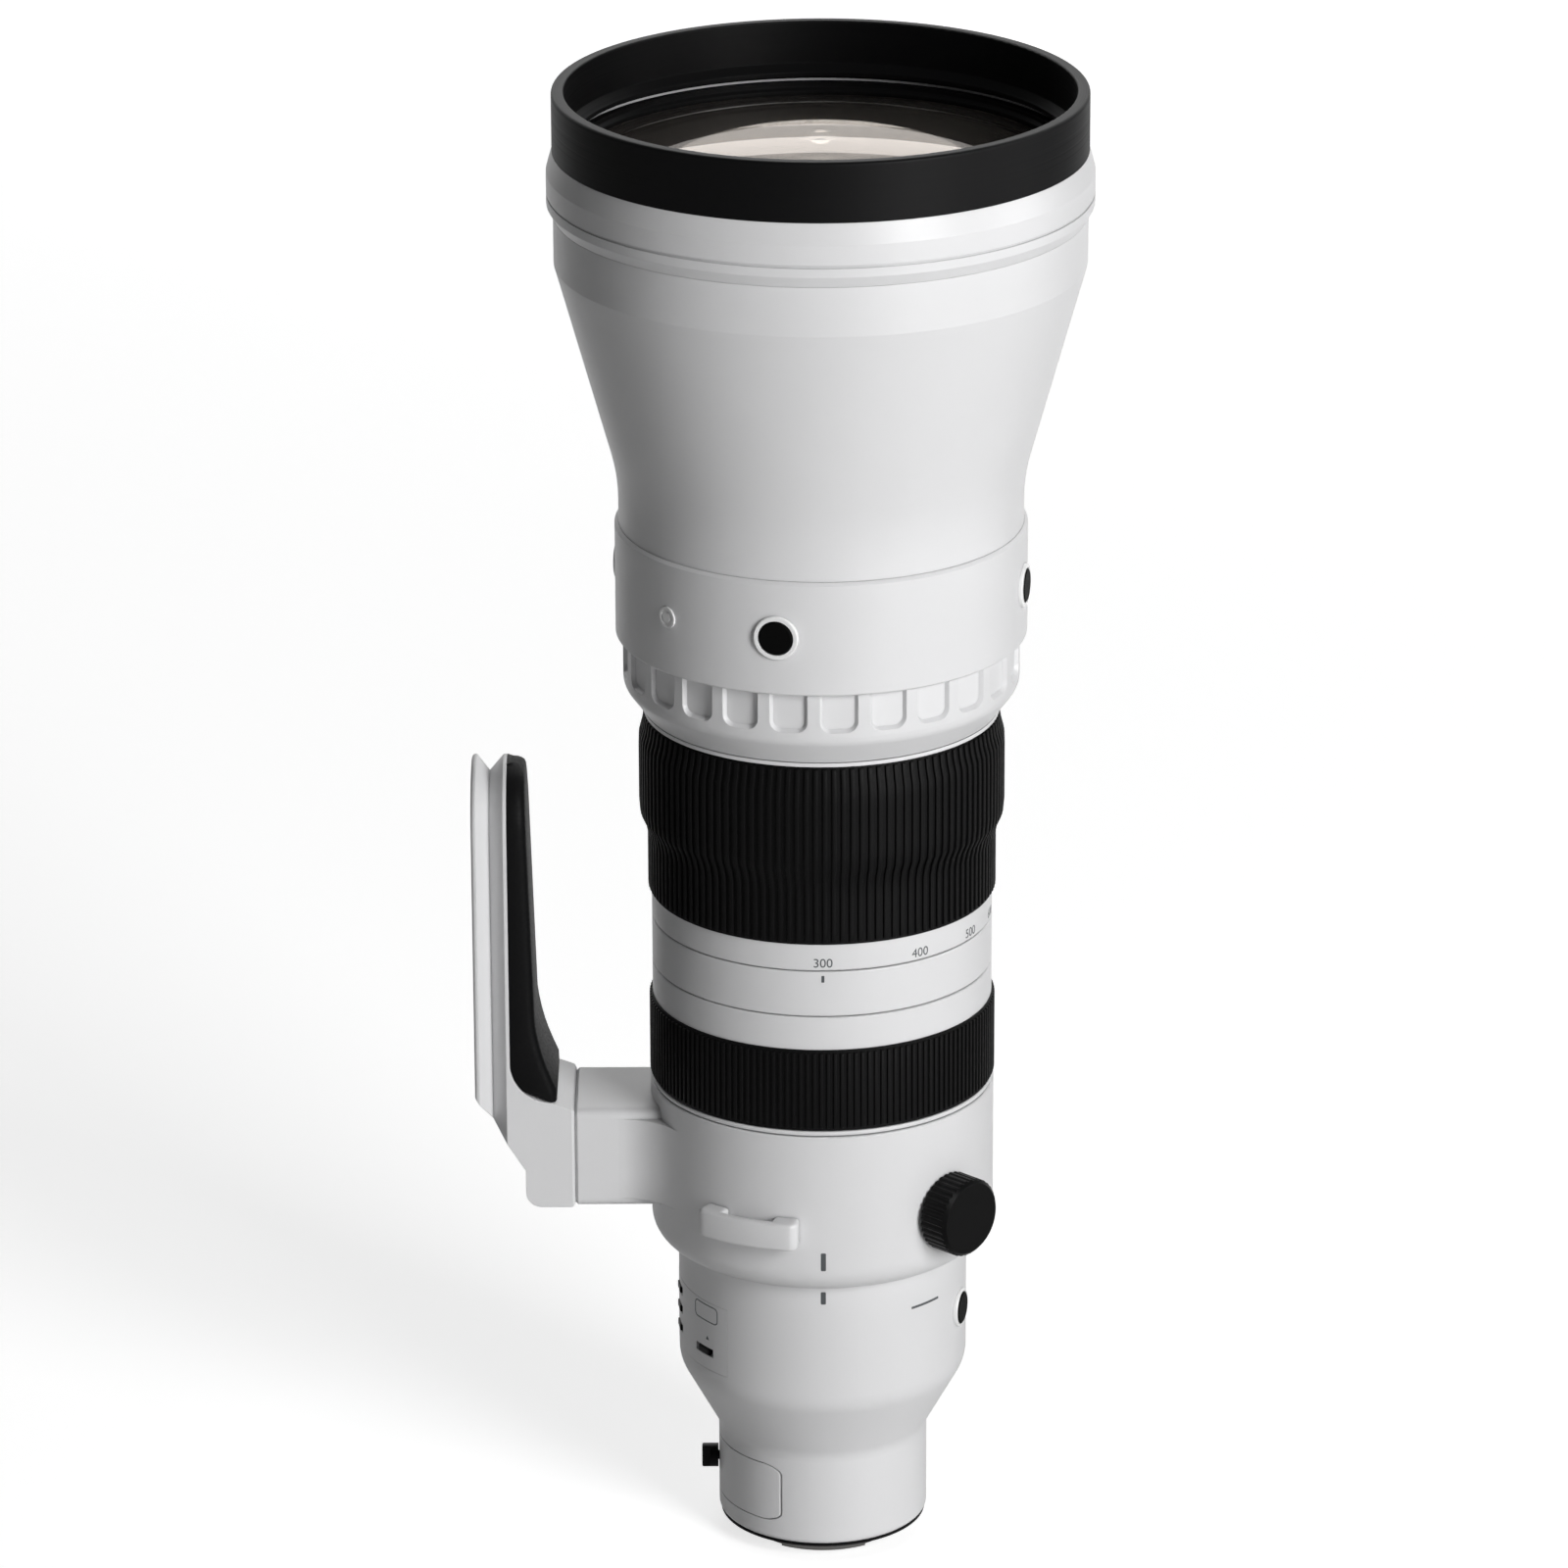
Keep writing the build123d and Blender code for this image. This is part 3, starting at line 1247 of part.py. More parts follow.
# Iris: base plate with the blades stacked on it
iris_top = iris_height + iris_plate_thickness
with BuildPart() as iris_unit:
    with BuildSketch(Plane.XY.offset(iris_height)) as plate:
        Circle(main_barrel_bore - seat_gap)
        Circle(iris_bore, mode=Mode.SUBTRACT)
        with Locations((0, rod_offset), (0, -rod_offset)):
            Circle(rod_radius + seat_gap, mode=Mode.SUBTRACT)
    extrude(plate.sketch, amount=iris_plate_thickness)
    for blade in range(iris_blade_count):
        level = iris_top + seat_gap + blade * (iris_blade_thickness + seat_gap)
        turned = blade * 360 / iris_blade_count
        corners = [
            (iris_opening, level),
            (iris_opening + iris_blade_width, level),
            (iris_opening + iris_blade_width, level + iris_blade_thickness),
            (iris_opening, level + iris_blade_thickness),
        ]
        turn_sector(corners, turned, turned + iris_blade_sweep)
save(iris_unit, "iris_unit")

# Focus group rides on two rods between the stabiliser base and the iris plate
with BuildPart() as focus_guide_rods:
    with BuildSketch(Plane.XY.offset(ois_base_bottom)) as rods:
        with Locations((0, rod_offset), (0, -rod_offset)):
            Circle(rod_radius)
    extrude(rods.sketch, amount=iris_top - ois_base_bottom)
save(focus_guide_rods, "focus_guide_rods")

magnet_bottom = parting + rear_wall + joint_gap
magnet_length = iris_height - magnet_bottom - joint_gap
focus_height = magnet_bottom + focus_near_margin + focus_travel
focus_outer = focus_lens_radius + focus_ring_wall
magnet_outer = sqrt((collar_tube_bore - seat_gap) ** 2 - (magnet_width / 2) ** 2)
coil_offset = magnet_outer - magnet_thickness - magnet_clearance - coil_thickness
with BuildPart() as focus_carrier:
    with BuildSketch(Plane.XY.offset(focus_height)) as plate:
        Circle(focus_outer)
        Rectangle(2 * bush_wall + 2 * rod_radius, 2 * rod_offset)
        with Locations((0, rod_offset), (0, -rod_offset)):
            Circle(rod_radius + bush_wall)
        Rectangle(2 * (coil_offset - seat_gap), coil_width)
        Circle(focus_lens_radius + seat_gap, mode=Mode.SUBTRACT)
        with Locations((0, rod_offset), (0, -rod_offset)):
            Circle(rod_radius + pin_gap, mode=Mode.SUBTRACT)
    extrude(plate.sketch, amount=focus_carrier_length)
    # Moving coils on both arms
    with BuildSketch(Plane.XY.offset(focus_height + (focus_carrier_length - coil_length) / 2)) as coils:
        for side in (-1, 1):
            with Locations((side * (coil_offset + coil_thickness / 2), 0)):
                Rectangle(coil_thickness, coil_width)
    extrude(coils.sketch, amount=coil_length)
save(focus_carrier, "focus_carrier")

with BuildPart() as focus_lens:
    lens_low = focus_height + (focus_carrier_length - focus_lens_edge) / 2
    turn_lens(focus_lens_radius, lens_low, lens_low + focus_lens_edge, focus_lens_bulge, focus_lens_bulge)
save(focus_lens, "focus_lens")

# Magnet bars stand against the tube's wall along the whole focus travel
with BuildPart() as focus_motor_magnets:
    with BuildSketch(Plane.XY.offset(magnet_bottom)) as bars:
        for side in (-1, 1):
            with Locations((side * (magnet_outer - magnet_thickness / 2), 0)):
                Rectangle(magnet_thickness, magnet_width)
    extrude(bars.sketch, amount=magnet_length)
save(focus_motor_magnets, "focus_motor_magnets")

# Fluted grip ring: cone below, scalloped band above
with BuildPart() as fluted_grip_ring:
    turn(
        [
            (main_barrel_radius + seat_gap, fluted_bottom),
            (fluted_neck_radius, fluted_bottom),
            (fluted_radius, fluted_band_bottom),
            (fluted_radius, fluted_top - seat_gap),
            (main_barrel_radius + seat_gap, fluted_top - seat_gap),
        ],
        [
            ((fluted_radius, fluted_band_bottom), flute_round * 2),
            ((fluted_radius, fluted_top - seat_gap), edge_round),
        ],
    )
    flute_middle = fluted_top - flute_height / 2 + flute_round
    flute_pitch = 360 / flute_count
    for flute in range(flute_count):
        azimuth = flute_azimuth + flute * flute_pitch
        with BuildSketch(facing(azimuth, fluted_radius - flute_depth, flute_middle)) as hollow:
            RectangleRounded(flute_width - flute_depth, flute_height + flute_round, flute_round)
        extrude(hollow.sketch, amount=flute_depth + edge_round, taper=-flute_taper, mode=Mode.SUBTRACT)
save(fluted_grip_ring, "fluted_grip_ring")

# Button ring with four raised bezels, and the small plug that marks it
button_height = fluted_top + button_ring_length * button_height_share
button_azimuths = [button_azimuth + number * 360 / button_count for number in range(button_count)]
hole_radius = button_radius + joint_gap
with BuildPart() as button_ring:
    turn(
        [
            (button_ring_radius - button_ring_wall, fluted_top),
            (button_ring_radius - edge_round, fluted_top),
            (button_ring_radius, fluted_top + edge_round),
            (button_ring_radius, button_ring_top - edge_round * 2),
            (button_ring_radius - edge_round * 2, button_ring_top - seat_gap),
            (button_ring_radius - button_ring_wall, button_ring_top - seat_gap),
        ]
    )
    # Floor that ties the ring to the main barrel
    turn_ring(main_barrel_radius + seat_gap, button_ring_radius - button_ring_wall / 2,
              fluted_top, fluted_top + button_ring_wall)
    for azimuth in button_azimuths:
        stud(azimuth, button_height, hole_radius, button_ring_radius - button_ring_wall - overrun,
             button_ring_radius + overrun, Mode.SUBTRACT)
    stud(plug_azimuth, button_height, plug_radius - seat_gap, button_ring_radius - plug_rise,
         button_ring_radius + overrun, Mode.SUBTRACT)
save(button_ring, "button_ring")

rear_hole_radius = rear_button_radius + joint_gap
bezel_places = [(azimuth, button_height, button_ring_radius, hole_radius, bezel_width)
                for azimuth in button_azimuths]
bezel_places.append(
    (rear_button_azimuth, rear_button_height, rear_barrel_radius, rear_hole_radius, rear_bezel_width)
)
with BuildPart() as button_bezels:
    for azimuth, height, skin, hole, width in bezel_places:
        stud(azimuth, height, hole + width, skin - button_ring_wall, skin + bezel_rise)
        top = button_bezels.faces().sort_by_distance(around(azimuth, skin + bezel_rise, height))[0]
        fillet(top.edges(), edge_round)
        stud(azimuth, height, hole, skin - button_ring_wall - overrun, skin + overrun, Mode.SUBTRACT)
    turn_ring(0, button_ring_radius + seat_gap / 2, fluted_top, button_ring_top, mode=Mode.SUBTRACT)
    turn_ring(0, rear_barrel_radius + seat_gap / 2, cone_top, parting, mode=Mode.SUBTRACT)
    # Small plug that marks the ring: a rim, a moat and an eye
    plug_face = button_ring_radius + plug_rise
    plug_foot = button_ring_radius - plug_rise + seat_gap
    stud(plug_azimuth, button_height, plug_radius - 2 * seat_gap, plug_foot, plug_face)
    with BuildSketch(facing(plug_azimuth, plug_face - plug_rise, button_height)) as moat:
        Circle(plug_radius - plug_rise * 2)
        Circle(plug_eye_radius, mode=Mode.SUBTRACT)
    extrude(moat.sketch, amount=plug_rise + overrun, mode=Mode.SUBTRACT)
save(button_bezels, "button_bezels")

for number, azimuth in enumerate(button_azimuths, start=1):
    face = button_ring_radius + bezel_rise + button_rise
    with BuildPart() as button:
        stud(azimuth, button_height, button_radius, face - button_depth, face)
        fillet(button.faces().sort_by_distance(around(azimuth, face, button_height))[0].edges(), edge_round)
        stud(azimuth, button_height, button_radius + button_flange, face - button_depth - button_flange,
             face - button_depth)
    save(button, f"focus_button_{number}")

# Front shell: neck, straight cone with soft ends, short cylinder under the hood flange
with BuildPart() as front_shell:
    turn(
        [
            (shell_neck_radius - shell_wall, button_ring_top),
            (shell_neck_radius, button_ring_top),
            (shell_neck_radius, shell_neck_top),
            (shell_front_radius, shell_cone_top),
            (shell_front_radius, shell_top - seat_gap),
            (shell_front_radius - shell_wall, shell_top - seat_gap),
            (shell_front_radius - shell_wall, shell_cone_top),
            (shell_neck_radius - shell_wall, shell_neck_top),
        ],
        [
            ((shell_neck_radius, shell_neck_top), shell_bend),
            ((shell_neck_radius - shell_wall, shell_neck_top), shell_bend + shell_wall),
        ],
    )
save(front_shell, "front_shell")

# Hood flange: the white ring that the hood clamps on, with a fine groove near its lower edge
with BuildPart() as hood_flange_ring:
    groove_middle = shell_top + flange_land + flange_groove_rise
    flange_bore = shell_front_radius - shell_wall
    turn(
        [
            (flange_bore, shell_top),
            (shell_front_radius, shell_top),
            (hood_flange_radius, shell_top + flange_land),
            (hood_flange_radius, groove_middle - groove_width / 2),
            (hood_flange_radius - groove_depth, groove_middle - groove_width / 2),
            (hood_flange_radius - groove_depth, groove_middle + groove_width / 2),
            (hood_flange_radius, groove_middle + groove_width / 2),
            (hood_flange_radius, hood_flange_top - flange_slope),
            (rim_radius + edge_round * 2, hood_flange_top - flange_land),
            (rim_radius, hood_flange_top - seat_gap),
            (flange_bore, hood_flange_top - seat_gap),
        ],
        [((hood_flange_radius, hood_flange_top - flange_slope), edge_round)],
    )
save(hood_flange_ring, "hood_flange_ring")

# Black front rim, stepped inside towards the glass
glass_top = front_face - front_lens_drop
ledge = glass_top + retaining_ring_height
rim_well = front_face - rim_well_depth
with BuildPart() as front_rim_ring:
    turn(
        [
            (front_lens_radius + retaining_ring_width + seat_gap, hood_flange_top),
            (rim_radius, hood_flange_top),
            (rim_radius, front_face),
            (rim_radius - rim_wall, front_face),
            (rim_radius - rim_wall, rim_well),
            (rim_radius - rim_throat_wall, rim_well - rim_bevel),
            (rim_radius - rim_throat_wall, hood_flange_top + rim_lip),
            (front_lens_radius + retaining_ring_width + seat_gap, hood_flange_top + rim_lip),
        ],
        [((rim_radius, front_face), edge_round * 2), ((rim_radius - rim_wall, front_face), edge_round)],
    )
save(front_rim_ring, "front_rim_ring")

# Front lens cell: three stepped seats, one for each element of the front group
glass_bottom = glass_top - front_lens_edge
second_top = glass_bottom - second_lens_drop
third_top = second_top - third_lens_drop
second_seat = second_top - second_lens_edge
third_seat = third_top - third_lens_edge
cell_bottom = third_seat - cell_wall
cell_outer = front_lens_radius + cell_wall
with BuildPart() as front_lens_cell:
    turn(
        [
            (third_lens_radius - cell_wall / 2, cell_bottom),
            (third_lens_radius + cell_wall, cell_bottom),
            (third_lens_radius + cell_wall, second_seat - cell_wall),
            (second_lens_radius + cell_wall, second_seat - cell_wall),
            (second_lens_radius + cell_wall, glass_bottom - cell_wall),
            (cell_outer, glass_bottom - cell_wall),
            (cell_outer, glass_top),
            (front_lens_radius + seat_gap, glass_top),
            (front_lens_radius + seat_gap, glass_bottom),
            (second_lens_radius + seat_gap, glass_bottom),
            (second_lens_radius + seat_gap, second_seat),
            (third_lens_radius + seat_gap, second_seat),
            (third_lens_radius + seat_gap, third_seat),
            (third_lens_radius - cell_wall / 2, third_seat),
        ]
    )
save(front_lens_cell, "front_lens_cell")

with BuildPart() as front_element:
    turn_lens(front_lens_radius, glass_bottom + seat_gap, glass_top, -front_lens_hollow, front_lens_bulge)
save(front_element, "front_element")

with BuildPart() as front_group_rear_elements:
    turn_lens(second_lens_radius, second_seat + seat_gap, second_top,
              -second_lens_bulge / 2, second_lens_bulge)
    turn_lens(third_lens_radius, third_seat + seat_gap, third_top,
              -third_lens_bulge / 2, third_lens_bulge)
save(front_group_rear_elements, "front_group_rear_elements")

# The ring's lip clears the glass, which rises towards its middle
retaining_foot = glass_top + seat_gap + 2 * front_lens_bulge * retaining_overlap / front_lens_radius
with BuildPart() as front_retaining_ring:
    turn(
        [
            (front_lens_radius - retaining_overlap, retaining_foot),
            (front_lens_radius + retaining_ring_width, glass_top + seat_gap),
            (front_lens_radius + retaining_ring_width, ledge),
            (rim_radius - rim_throat_wall, ledge),
            (rim_radius - rim_throat_wall, ledge - retaining_lip),
            (front_lens_radius - retaining_overlap, glass_top + retaining_lip),
        ]
    )
save(front_retaining_ring, "front_retaining_ring")
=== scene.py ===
from math import atan2, cos, floor, hypot, pi, radians, sin, sqrt

import bpy
from mathutils import Matrix, Vector


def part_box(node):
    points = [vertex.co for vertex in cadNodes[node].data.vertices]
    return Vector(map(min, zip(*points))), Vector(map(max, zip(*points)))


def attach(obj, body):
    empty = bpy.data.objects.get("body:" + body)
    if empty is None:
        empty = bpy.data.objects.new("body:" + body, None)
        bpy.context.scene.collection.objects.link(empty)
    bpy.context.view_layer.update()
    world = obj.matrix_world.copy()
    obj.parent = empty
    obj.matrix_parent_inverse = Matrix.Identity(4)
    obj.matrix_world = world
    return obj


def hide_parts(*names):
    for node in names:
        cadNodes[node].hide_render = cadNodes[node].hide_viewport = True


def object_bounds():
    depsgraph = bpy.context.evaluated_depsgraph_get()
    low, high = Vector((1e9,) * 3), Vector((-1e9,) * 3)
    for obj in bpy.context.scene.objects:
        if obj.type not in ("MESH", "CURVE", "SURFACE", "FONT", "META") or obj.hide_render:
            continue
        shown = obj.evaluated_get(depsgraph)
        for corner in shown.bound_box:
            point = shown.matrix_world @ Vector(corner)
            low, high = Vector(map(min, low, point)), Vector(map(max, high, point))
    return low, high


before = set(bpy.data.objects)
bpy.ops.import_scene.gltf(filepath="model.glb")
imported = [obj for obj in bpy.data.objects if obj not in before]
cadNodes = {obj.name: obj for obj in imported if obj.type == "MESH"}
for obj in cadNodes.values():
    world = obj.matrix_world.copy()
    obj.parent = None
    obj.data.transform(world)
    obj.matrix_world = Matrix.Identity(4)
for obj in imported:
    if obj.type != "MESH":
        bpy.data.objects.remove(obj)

# White super-telephoto zoom lens, standing on its rear mount
mm = 0.001
hair = 0.001 * mm        # closer than this, two places count as one
cadBox = [list(corner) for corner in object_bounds()]
print("frame loaded:", len(cadNodes), "nodes")


# Selecting and editing

def putDown():
    # Nothing is selected and Blender is in object mode
    if bpy.context.object and bpy.context.object.mode != "OBJECT":
        bpy.ops.object.mode_set(mode="OBJECT")
    bpy.ops.object.select_all(action="DESELECT")


def takeUp(piece):
    putDown()
    piece.select_set(True)
    bpy.context.view_layer.objects.active = piece


def editWith(piece, kind, test):
    # Opens the piece in edit mode with the verts, edges or faces that pass the test selected
    takeUp(piece)
    bpy.context.tool_settings.mesh_select_mode = (kind == "verts", kind == "edges", kind == "faces")
    bpy.ops.object.mode_set(mode="EDIT")
    bpy.ops.mesh.select_all(action="DESELECT")
    bpy.ops.object.mode_set(mode="OBJECT")
    mesh = piece.data
    if kind == "verts":
        for vertex in mesh.vertices:
            vertex.select = test(vertex.co)
    if kind == "edges":
        for edge in mesh.edges:
            ends = [mesh.vertices[index].co for index in edge.vertices]
            edge.select = test(*ends)
    if kind == "faces":
        for face in mesh.polygons:
            face.select = test(face.center, face.normal)
    bpy.ops.object.mode_set(mode="EDIT")


def newPiece(name):
    # The primitive that was just added becomes a piece, with its place in its mesh
    piece = bpy.context.object
    piece.name = name
    piece.data.name = name
    bpy.ops.object.transform_apply(location=True, rotation=True, scale=True)
    return piece


def applyModifiers(piece):
    takeUp(piece)
    for modifier in list(piece.modifiers):
        bpy.ops.object.modifier_apply(modifier=modifier.name)


def roundEdges(piece, widthMm, segments):
    # Bevels every edge that is sharper than the limit
    sharpDeg = 50
    soften = piece.modifiers.new("rounding", "BEVEL")
    soften.width = widthMm * mm
    soften.segments = segments
    soften.limit_method = "ANGLE"
    soften.angle_limit = radians(sharpDeg)
    applyModifiers(piece)


def finishPiece(piece, body, material, angle=35):
    takeUp(piece)
    bpy.ops.object.shade_smooth_by_angle(angle=radians(angle))
    piece.data.materials.clear()
    piece.data.materials.append(material)
    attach(piece, body)
    putDown()


# Colours and nodes

def linear(hexColour, strength=1.0):
    # sRGB hex value as a linear colour
    parts = [int(hexColour[place:place + 2], 16) / 255 for place in (1, 3, 5)]
    straight = [part / 12.92 if part <= 0.04045 else ((part + 0.055) / 1.055) ** 2.4 for part in parts]
    return (*[part * strength for part in straight], 1.0)


def addNode(tree, kind, inputs=None, **settings):
    # One node with its settings, its values and its links
    made = tree.nodes.new(kind)
    for key, value in settings.items():
        setattr(made, key, value)
    for key, value in (inputs or {}).items():
        if isinstance(value, bpy.types.NodeSocket):
            tree.links.new(value, made.inputs[key])
        else:
            made.inputs[key].default_value = value
    return made


def newMaterial(name):
    material = bpy.data.materials.new(name)
    material.use_nodes = True
    tree = material.node_tree
    tree.nodes.clear()
    output = addNode(tree, "ShaderNodeOutputMaterial")
    shader = addNode(tree, "ShaderNodeBsdfPrincipled")
    tree.links.new(shader.outputs["BSDF"], output.inputs["Surface"])
    return material, tree, shader


def latheVector(tree, place):
    # Radius and height as a flat vector: a pattern on it runs in rings round the optical axis
    split = addNode(tree, "ShaderNodeSeparateXYZ", {"Vector": place})
    flat = addNode(tree, "ShaderNodeCombineXYZ", {"X": split.outputs["X"], "Y": split.outputs["Y"]})
    reach = addNode(tree, "ShaderNodeVectorMath", {0: flat.outputs["Vector"]}, operation="LENGTH")
    ringed = addNode(tree, "ShaderNodeCombineXYZ", {"X": reach.outputs["Value"], "Y": split.outputs["Z"]})
    return ringed.outputs["Vector"]


def finishedSurface(look):
    # Colour that clouds slowly, gloss that varies with the grain, edges softened and fine relief
    material, tree, shader = newMaterial(look["name"])
    place = addNode(tree, "ShaderNodeTexCoord").outputs["Object"]
    cloudScale, grainScale = 1 / (look["cloudMm"] * mm), 1 / (look["grainMm"] * mm)
    cloud = addNode(tree, "ShaderNodeTexNoise", {"Vector": place, "Scale": cloudScale, "Detail": 3.0})
    grainPlace = latheVector(tree, place) if look.get("turned") else place
    grain = addNode(tree, "ShaderNodeTexNoise", {"Vector": grainPlace, "Scale": grainScale, "Detail": 2.0})
    colour = addNode(tree, "ShaderNodeMix", {"Factor": cloud.outputs["Fac"], "A": linear(look["shade"]),
                                             "B": linear(look["colour"])}, data_type="RGBA")
    tinted = colour.outputs["Result"]
    if look.get("paintedShade"):
        # Painted shade: an ambient occlusion mask paints seams and corners darker
        corner = addNode(tree, "ShaderNodeAmbientOcclusion", {"Distance": look["paintedShadeMm"] * mm}, samples=4)
        paintedShadeAmount = addNode(tree, "ShaderNodeMapRange", {"Value": corner.outputs["AO"], "From Min": 0.25,
                                                    "From Max": 0.85, "To Min": look["paintedShade"], "To Max": 0.0})
        paintedShadeMix = addNode(tree, "ShaderNodeMix", {"Factor": paintedShadeAmount.outputs["Result"], "A": tinted,
                                                "B": linear(look["paintedShadeColour"])}, data_type="RGBA")
        tinted = paintedShadeMix.outputs["Result"]
    tree.links.new(tinted, shader.inputs["Base Color"])
    smooth, rough = look["roughness"]
    gloss = addNode(tree, "ShaderNodeMapRange", {"Value": grain.outputs["Fac"], "From Min": 0.3,
                                                 "From Max": 0.7, "To Min": smooth, "To Max": rough})
    tree.links.new(gloss.outputs["Result"], shader.inputs["Roughness"])
    soft = addNode(tree, "ShaderNodeBevel", {"Radius": look["softenMm"] * mm}, samples=4)
    relief = addNode(tree, "ShaderNodeBump", {"Height": grain.outputs["Fac"], "Strength": 1.0,
                                              "Distance": look["reliefMm"] * mm,
                                              "Normal": soft.outputs["Normal"]})
    tree.links.new(relief.outputs["Normal"], shader.inputs["Normal"])
    shader.inputs["Metallic"].default_value = look.get("metallic", 0.0)
    shader.inputs["IOR"].default_value = look.get("ior", 1.5)
    shader.inputs["Specular IOR Level"].default_value = look.get("specular", 0.5)
    shader.inputs["Coat Weight"].default_value = look.get("coat", 0.0)
    shader.inputs["Coat Roughness"].default_value = look.get("coatRoughness", 0.2)
    return material


# Magnesium casting under satin heat-reflecting enamel: an even off-white with a fine spray grain,
# drawn at 1 mm so that it shows
whiteEnamel = finishedSurface({
    "name": "satinWhiteEnamel", "colour": "#E3E3E4", "shade": "#DDDDDE", "cloudMm": 60,
    "grainMm": 1.0, "reliefMm": 0.012, "roughness": (0.34, 0.44), "softenMm": 0.35,
    # Painted shade in seams and corners: how dark, how far the occlusion looks, and its grey
    "paintedShade": 0.55, "paintedShadeMm": 1.2, "paintedShadeColour": "#77797B",
})
# Turned aluminium ring in the same enamel: smoother, with faint rings from the lathe
whiteRing = finishedSurface({
    "name": "enamelOnTurnedRing", "colour": "#E3E3E4", "shade": "#DEDEDF", "cloudMm": 50,
    "grainMm": 0.9, "reliefMm": 0.006, "roughness": (0.33, 0.41), "softenMm": 0.3, "turned": True,
    # Painted shade in seams and corners, as on the cast enamel
    "paintedShade": 0.5, "paintedShadeMm": 1.0, "paintedShadeColour": "#737577",
})
# Moulded glossy ABS: sharper highlights than the enamel, faint flow marks
whiteAbs = finishedSurface({
    "name": "glossyWhiteAbs", "colour": "#F6F6F6", "shade": "#F0F0F0", "cloudMm": 12,
    "grainMm": 1.4, "reliefMm": 0.004, "roughness": (0.16, 0.22), "softenMm": 0.25, "ior": 1.54,
})
# Moulded synthetic rubber: nearly black, broad soft highlights, a fine matt skin drawn at 0.5 mm
gripRubber = finishedSurface({
    "name": "mouldedGripRubber", "colour": "#0C0C0D", "shade": "#090909", "cloudMm": 25,
    "grainMm": 0.5, "reliefMm": 0.02, "roughness": (0.48, 0.62), "softenMm": 0.15, "ior": 1.52,
    "specular": 0.12,
})
# Softer pad rubber with a leather-like skin
padRubber = finishedSurface({
    "name": "softPadRubber", "colour": "#0E0E0F", "shade": "#0A0A0B", "cloudMm": 18,
    "grainMm": 0.9, "reliefMm": 0.05, "roughness": (0.5, 0.66), "softenMm": 0.3, "specular": 0.12,
})
# Aluminium under matt black stoving enamel: deep black, a broad dim highlight
blackEnamel = finishedSurface({
    "name": "mattBlackEnamel", "colour": "#070708", "shade": "#050506", "cloudMm": 30,
    "grainMm": 0.7, "reliefMm": 0.008, "roughness": (0.46, 0.56), "softenMm": 0.4, "specular": 0.14,
    "turned": True,
})
# Glass-filled nylon: black, finely eroded mould skin
blackNylon = finishedSurface({
    "name": "glassFilledNylon", "colour": "#070708", "shade": "#050505", "cloudMm": 14,
    "grainMm": 0.45, "reliefMm": 0.015, "roughness": (0.3, 0.4), "softenMm": 0.3, "ior": 1.53,
    "specular": 0.1,
})
# Silicone key tops: matt, a little lighter where the skin is worn
buttonSilicone = finishedSurface({
    "name": "mattSilicone", "colour": "#070707", "shade": "#050505", "cloudMm": 5,
    "grainMm": 0.4, "reliefMm": 0.015, "roughness": (0.5, 0.62), "softenMm": 0.3, "ior": 1.43,
    "specular": 0.08,
})
# Black anodised aluminium with lathe rings that kill stray light
blackAnodised = finishedSurface({
    "name": "blackAnodisedAluminium", "colour": "#1A1A1D", "shade": "#121214", "cloudMm": 20,
    "grainMm": 0.8, "reliefMm": 0.06, "roughness": (0.4, 0.55), "softenMm": 0.15, "metallic": 0.4,
    "turned": True,
})
# Machined aluminium left bright
machinedAluminium = finishedSurface({
    "name": "machinedAluminium", "colour": "#B9BABC", "shade": "#A9AAAD", "cloudMm": 15,
    "grainMm": 0.4, "reliefMm": 0.01, "roughness": (0.26, 0.38), "softenMm": 0.2, "metallic": 1.0,
    "turned": True,
})
# Stainless bayonet, turned and polished: bright rings, fine scratches from mounting. Its colour is painted
# darker than bright steel, as painted shade for the shadow under the lens
shadedMountSteel = finishedSurface({
    "name": "turnedStainlessSteel", "colour": "#8E8D8B", "shade": "#797876", "cloudMm": 10,
    "grainMm": 0.35, "reliefMm": 0.006, "roughness": (0.16, 0.3), "softenMm": 0.2, "metallic": 1.0,
    "turned": True,
})
# Blackened screw steel: dark with a metallic edge
screwSteel = finishedSurface({
    "name": "blackenedScrewSteel", "colour": "#5A5B5E", "shade": "#3C3D40", "cloudMm": 3,
    "grainMm": 0.3, "reliefMm": 0.01, "roughness": (0.28, 0.42), "softenMm": 0.15, "metallic": 1.0,
})
# Nickel-plated magnet bars
nickelPlate = finishedSurface({
    "name": "nickelPlatedMagnet", "colour": "#A9A7A1", "shade": "#98968F", "cloudMm": 20,
    "grainMm": 0.6, "reliefMm": 0.006, "roughness": (0.2, 0.3), "softenMm": 0.2, "metallic": 1.0,
})
# Sliding tape of filled fluoropolymer: waxy, tan
slidingTape = finishedSurface({
    "name": "filledFluoropolymer", "colour": "#B4A98E", "shade": "#A39879", "cloudMm": 9,
    "grainMm": 0.6, "reliefMm": 0.01, "roughness": (0.38, 0.5), "softenMm": 0.1, "ior": 1.38,
})
# Fibreglass board under green solder mask
solderMask = finishedSurface({
    "name": "greenSolderMask", "colour": "#1F5A38", "shade": "#16452A", "cloudMm": 4,
    "grainMm": 0.8, "reliefMm": 0.03, "roughness": (0.25, 0.4), "softenMm": 0.1, "coat": 0.4,
})
# Grey pad-printing ink, matt and very thin
printInk = finishedSurface({
    "name": "greyPrintInk", "colour": "#55585B", "shade": "#4A4D50", "cloudMm": 2,
    "grainMm": 0.3, "reliefMm": 0.004, "roughness": (0.45, 0.6), "softenMm": 0.02,
})
print("surfaces made")


